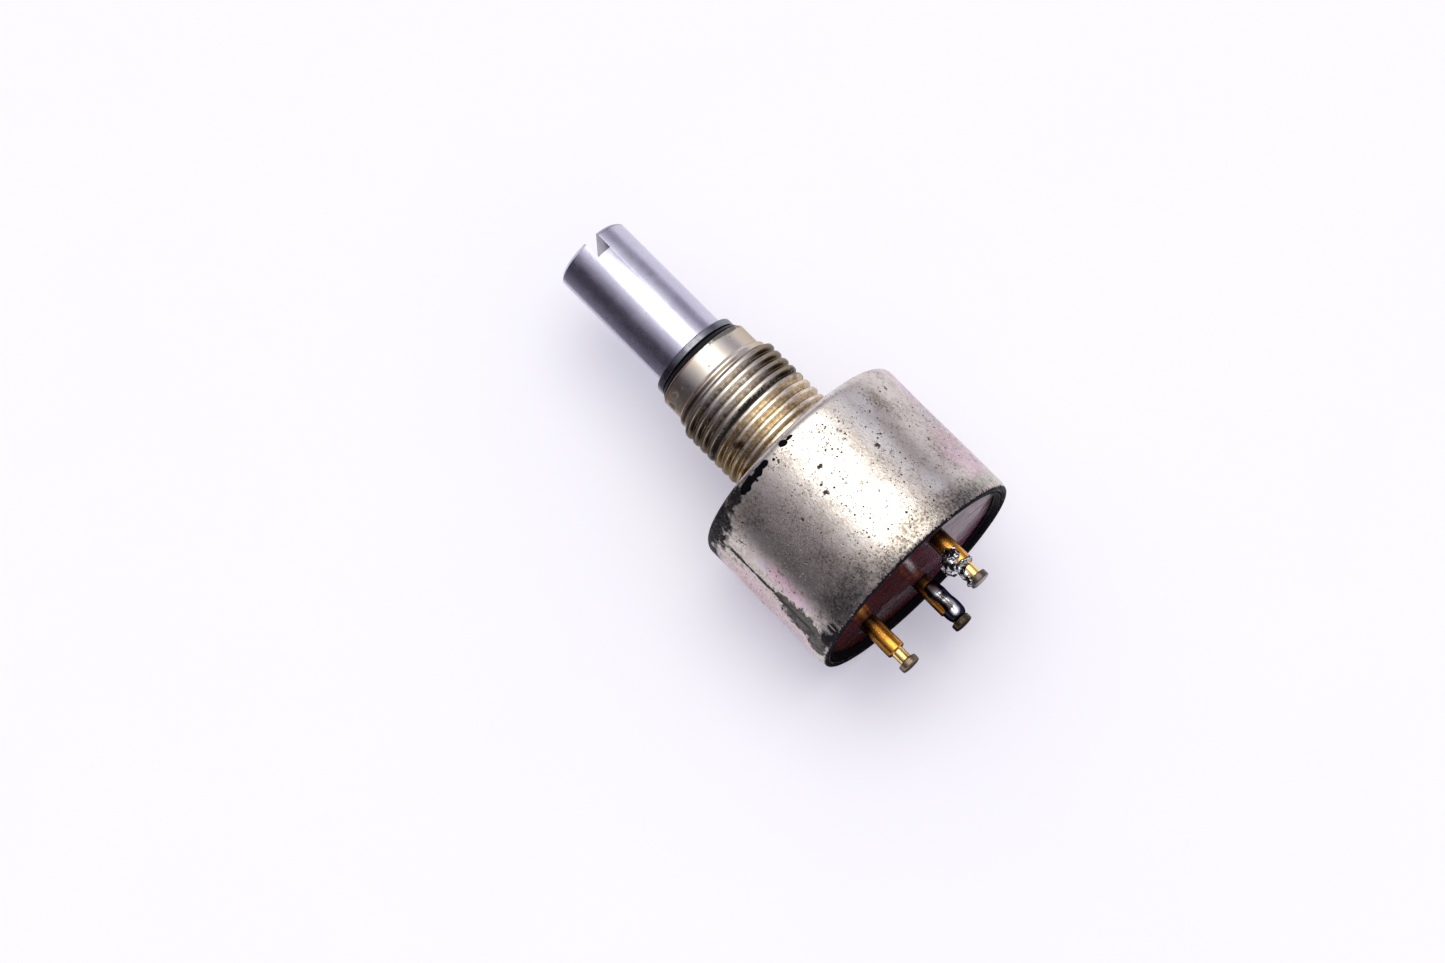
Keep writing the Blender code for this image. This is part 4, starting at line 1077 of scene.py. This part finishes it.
def buildFlecks():
    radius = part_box("housing_can")[1].z / mm
    corner = can["corner"] / mm
    bm = bmesh.new()
    for turn, roll, length, width in flecks["places"]:
        slope = min(roll, 1) * math.pi / 2
        x = -corner + corner * math.cos(slope) - corner * max(roll - 1, 0) * flecks["sideStep"]
        r = radius - corner + corner * math.sin(slope)
        verts = bmesh.ops.create_icosphere(bm, subdivisions=flecks["fineness"], radius=1)["verts"]
        shape = Matrix.Diagonal((width, length, flecks["thickness"], 1))
        lean = Matrix.Rotation(math.pi / 2 - slope, 4, "Y")
        lift = Matrix.Rotation(math.radians(turn), 4, "X") @ Matrix.Translation((x, 0, r)) @ lean
        for vert in verts:
            flat = shape @ vert.co
            ragged = 1 + flecks["ragged"] * noise.noise((lift @ flat) / flecks["grain"])
            vert.co = lift @ Vector((flat.x * ragged, flat.y * ragged, flat.z))
    made = piece("tar_flecks", bm, "housing", "black_rubber", None, finish=tar)
    made.data.transform(Matrix.Scale(mm, 4))


buildCan()
buildBushing()
buildShaft()
buildRing()
buildSeal()
buildPlate()
buildSealant()
for node in turretNodes:
    buildTerminal(node)
buildLump()
buildCoat()
buildFlecks()


# Studio: pale floor, one broad soft lamp overhead and a dim room
studio = dict(
    inMm(distance=300, clip=10), floorColour=(0.975, 0.975, 0.975, 1), floorFibre=0.99,
    floorGlow=(0.95, 0.92, 1.18, 1), glowShare=0.22, floorSize=40, lampTilt=9, lampWidth=50, lampPower=1.2,
    lampColour=(1.0, 0.99, 0.90), roomHorizon=(0.97, 0.95, 1.05, 1), roomBright=(0.40, 0.38, 0.45, 1),
    roomDim=(0.31, 0.295, 0.35, 1), roomTop=(0.95, 0.935, 1.0, 1), topAim=(0.114, -0.108, 0.988),
    aim=Vector((2.44, 5.24, -0.56)) * mm, azimuth=226.56, elevation=72.5, lens=99.14, sensor=36)
unlit = (0, 0, 0, 1)

# Dark cards seen only in the metal: corners in millimetres, colours at the foot, the middle and the top
cards = {
    "shaft_card": ([(4, 8, -9.4), (52, 8, -9.4), (52, 25, 18), (4, 25, 18)],
                   (0.30, 0.28, 0.33, 1), (0.035, 0.03, 0.045, 1), (0.20, 0.19, 0.23, 1)),
    "can_card": ([(-24, 24, -0.6), (4, 24, -0.6), (4, 26, 11), (-24, 26, 11)],
                 (0.13, 0.12, 0.15, 1), (0.10, 0.09, 0.12, 1), (0.15, 0.14, 0.17, 1)),
    # a dark sheet on the floor behind the plate, seen only in reflections, stands in for the shade on the
    # floor there
    "floor_shade_card": ([(-26, -5, -9.4), (-13.4, -5, -9.4), (-13.4, 13, -9.4), (-26, 13, -9.4)],
                   (0.03, 0.02, 0.03, 1), (0.03, 0.02, 0.03, 1), (0.03, 0.02, 0.03, 1)),
}


def towards(azimuth, elevation):
    a, e = math.radians(azimuth), math.radians(elevation)
    return Vector((math.sin(a) * math.cos(e), -math.cos(a) * math.cos(e), math.sin(e)))


def hung(name, data, facing, axis):
    made = bpy.data.objects.new(name, data)
    made.rotation_mode = "QUATERNION"
    made.rotation_quaternion = facing.to_track_quat(axis, "Y")
    bpy.context.scene.collection.objects.link(made)
    return made


def hangCard(name, corners, foot, middle, top):
    bm = bmesh.new()
    bm.faces.new([bm.verts.new(Vector(corner) * mm) for corner in corners])
    card = shown(name, bm)
    card.visible_camera = False
    card.visible_diffuse = False
    card.visible_shadow = False
    felt, space = newFinish(name.replace("_", " "), {"Roughness": 0.9})
    fibre = use(mottle, space["Place"], Scale=0.3, From=0.45, To=0.6)
    height = axes(put(felt.node_tree, "TexCoord").outputs["Generated"])[2]
    colour = overlay(remap(height, 0.45, 0.0), middle, foot)
    colour = overlay(remap(height, 0.65, 1.0), colour, top)
    feed(shaderOf(felt), {"Base Color": overlay(times(fibre, 0.2), colour, top)})
    card.data.materials.append(felt)


def layFloor():
    bm = bmesh.new()
    bmesh.ops.create_grid(bm, x_segments=1, y_segments=1, size=studio["floorSize"] / 2)
    floor = shown("floor", bm)
    floor.location.z = cadBox[0].z
    uniform = {"Roughness": 0.9, "Specular IOR Level": 0.0, "Emission Strength": 1.0}
    paper, space = newFinish("floor paper", uniform)
    fibre = use(mottle, space["Place"], Scale=0.05, From=0.3, To=0.7)
    # the paper glows a little for the camera and in reflections, which keeps its shadows pale
    path = put(paper.node_tree, "LightPath").outputs
    seen = most(path["Is Camera Ray"], path["Is Glossy Ray"], path["Is Transmission Ray"])
    seen = times(seen, studio["glowShare"])
    shade = tuple(studio["floorFibre"] * c for c in studio["floorColour"][:3]) + (1,)
    lit = overlay(fibre, studio["floorColour"], shade)
    glow = overlay(seen, unlit, studio["floorGlow"])
    feed(shaderOf(paper), {"Base Color": overlay(seen, lit, unlit), "Emission Color": glow})
    floor.data.materials.append(paper)


def lightRoom():
    world = bpy.data.worlds.new("studio room")
    world.use_nodes = True
    bpy.context.scene.world = world
    tree = world.node_tree
    ray = put(tree, "TexCoord").outputs["Generated"]
    _, y, z = axes(ray)
    above = put(tree, "VectorMath", {0: ray, 1: studio["topAim"]}, operation="DOT_PRODUCT").outputs[1]
    side = overlay(remap(y, -0.6, 0.6), studio["roomBright"], studio["roomDim"])
    colour = overlay(remap(z, -0.03, 0.24), studio["roomHorizon"], side)
    colour = overlay(remap(above, 0.55, 0.86), colour, studio["roomTop"])
    feed(tree.nodes["Background"], {"Color": colour, "Strength": 1.0})

    lamp = bpy.data.lights.new("overhead lamp", "SUN")
    lamp.energy = studio["lampPower"]
    lamp.angle = math.radians(studio["lampWidth"])
    lamp.color = studio["lampColour"]
    hung("overhead lamp", lamp, towards(studio["azimuth"] + 180, 90 - studio["lampTilt"]), "Z")


def setCamera():
    view = bpy.data.cameras.new("photo view")
    view.lens = studio["lens"]
    view.sensor_width = studio["sensor"]
    view.clip_start = studio["clip"]
    back = towards(studio["azimuth"], studio["elevation"])
    camera = hung("photo view", view, -back, "-Z")
    camera.location = studio["aim"] + back * studio["distance"]
    bpy.context.scene.camera = camera
    bpy.context.scene.view_settings.view_transform = "Standard"


layFloor()
lightRoom()
setCamera()
for name, settings in cards.items():
    hangCard(name, *settings)
print("studio: floor, lamp, room and camera")
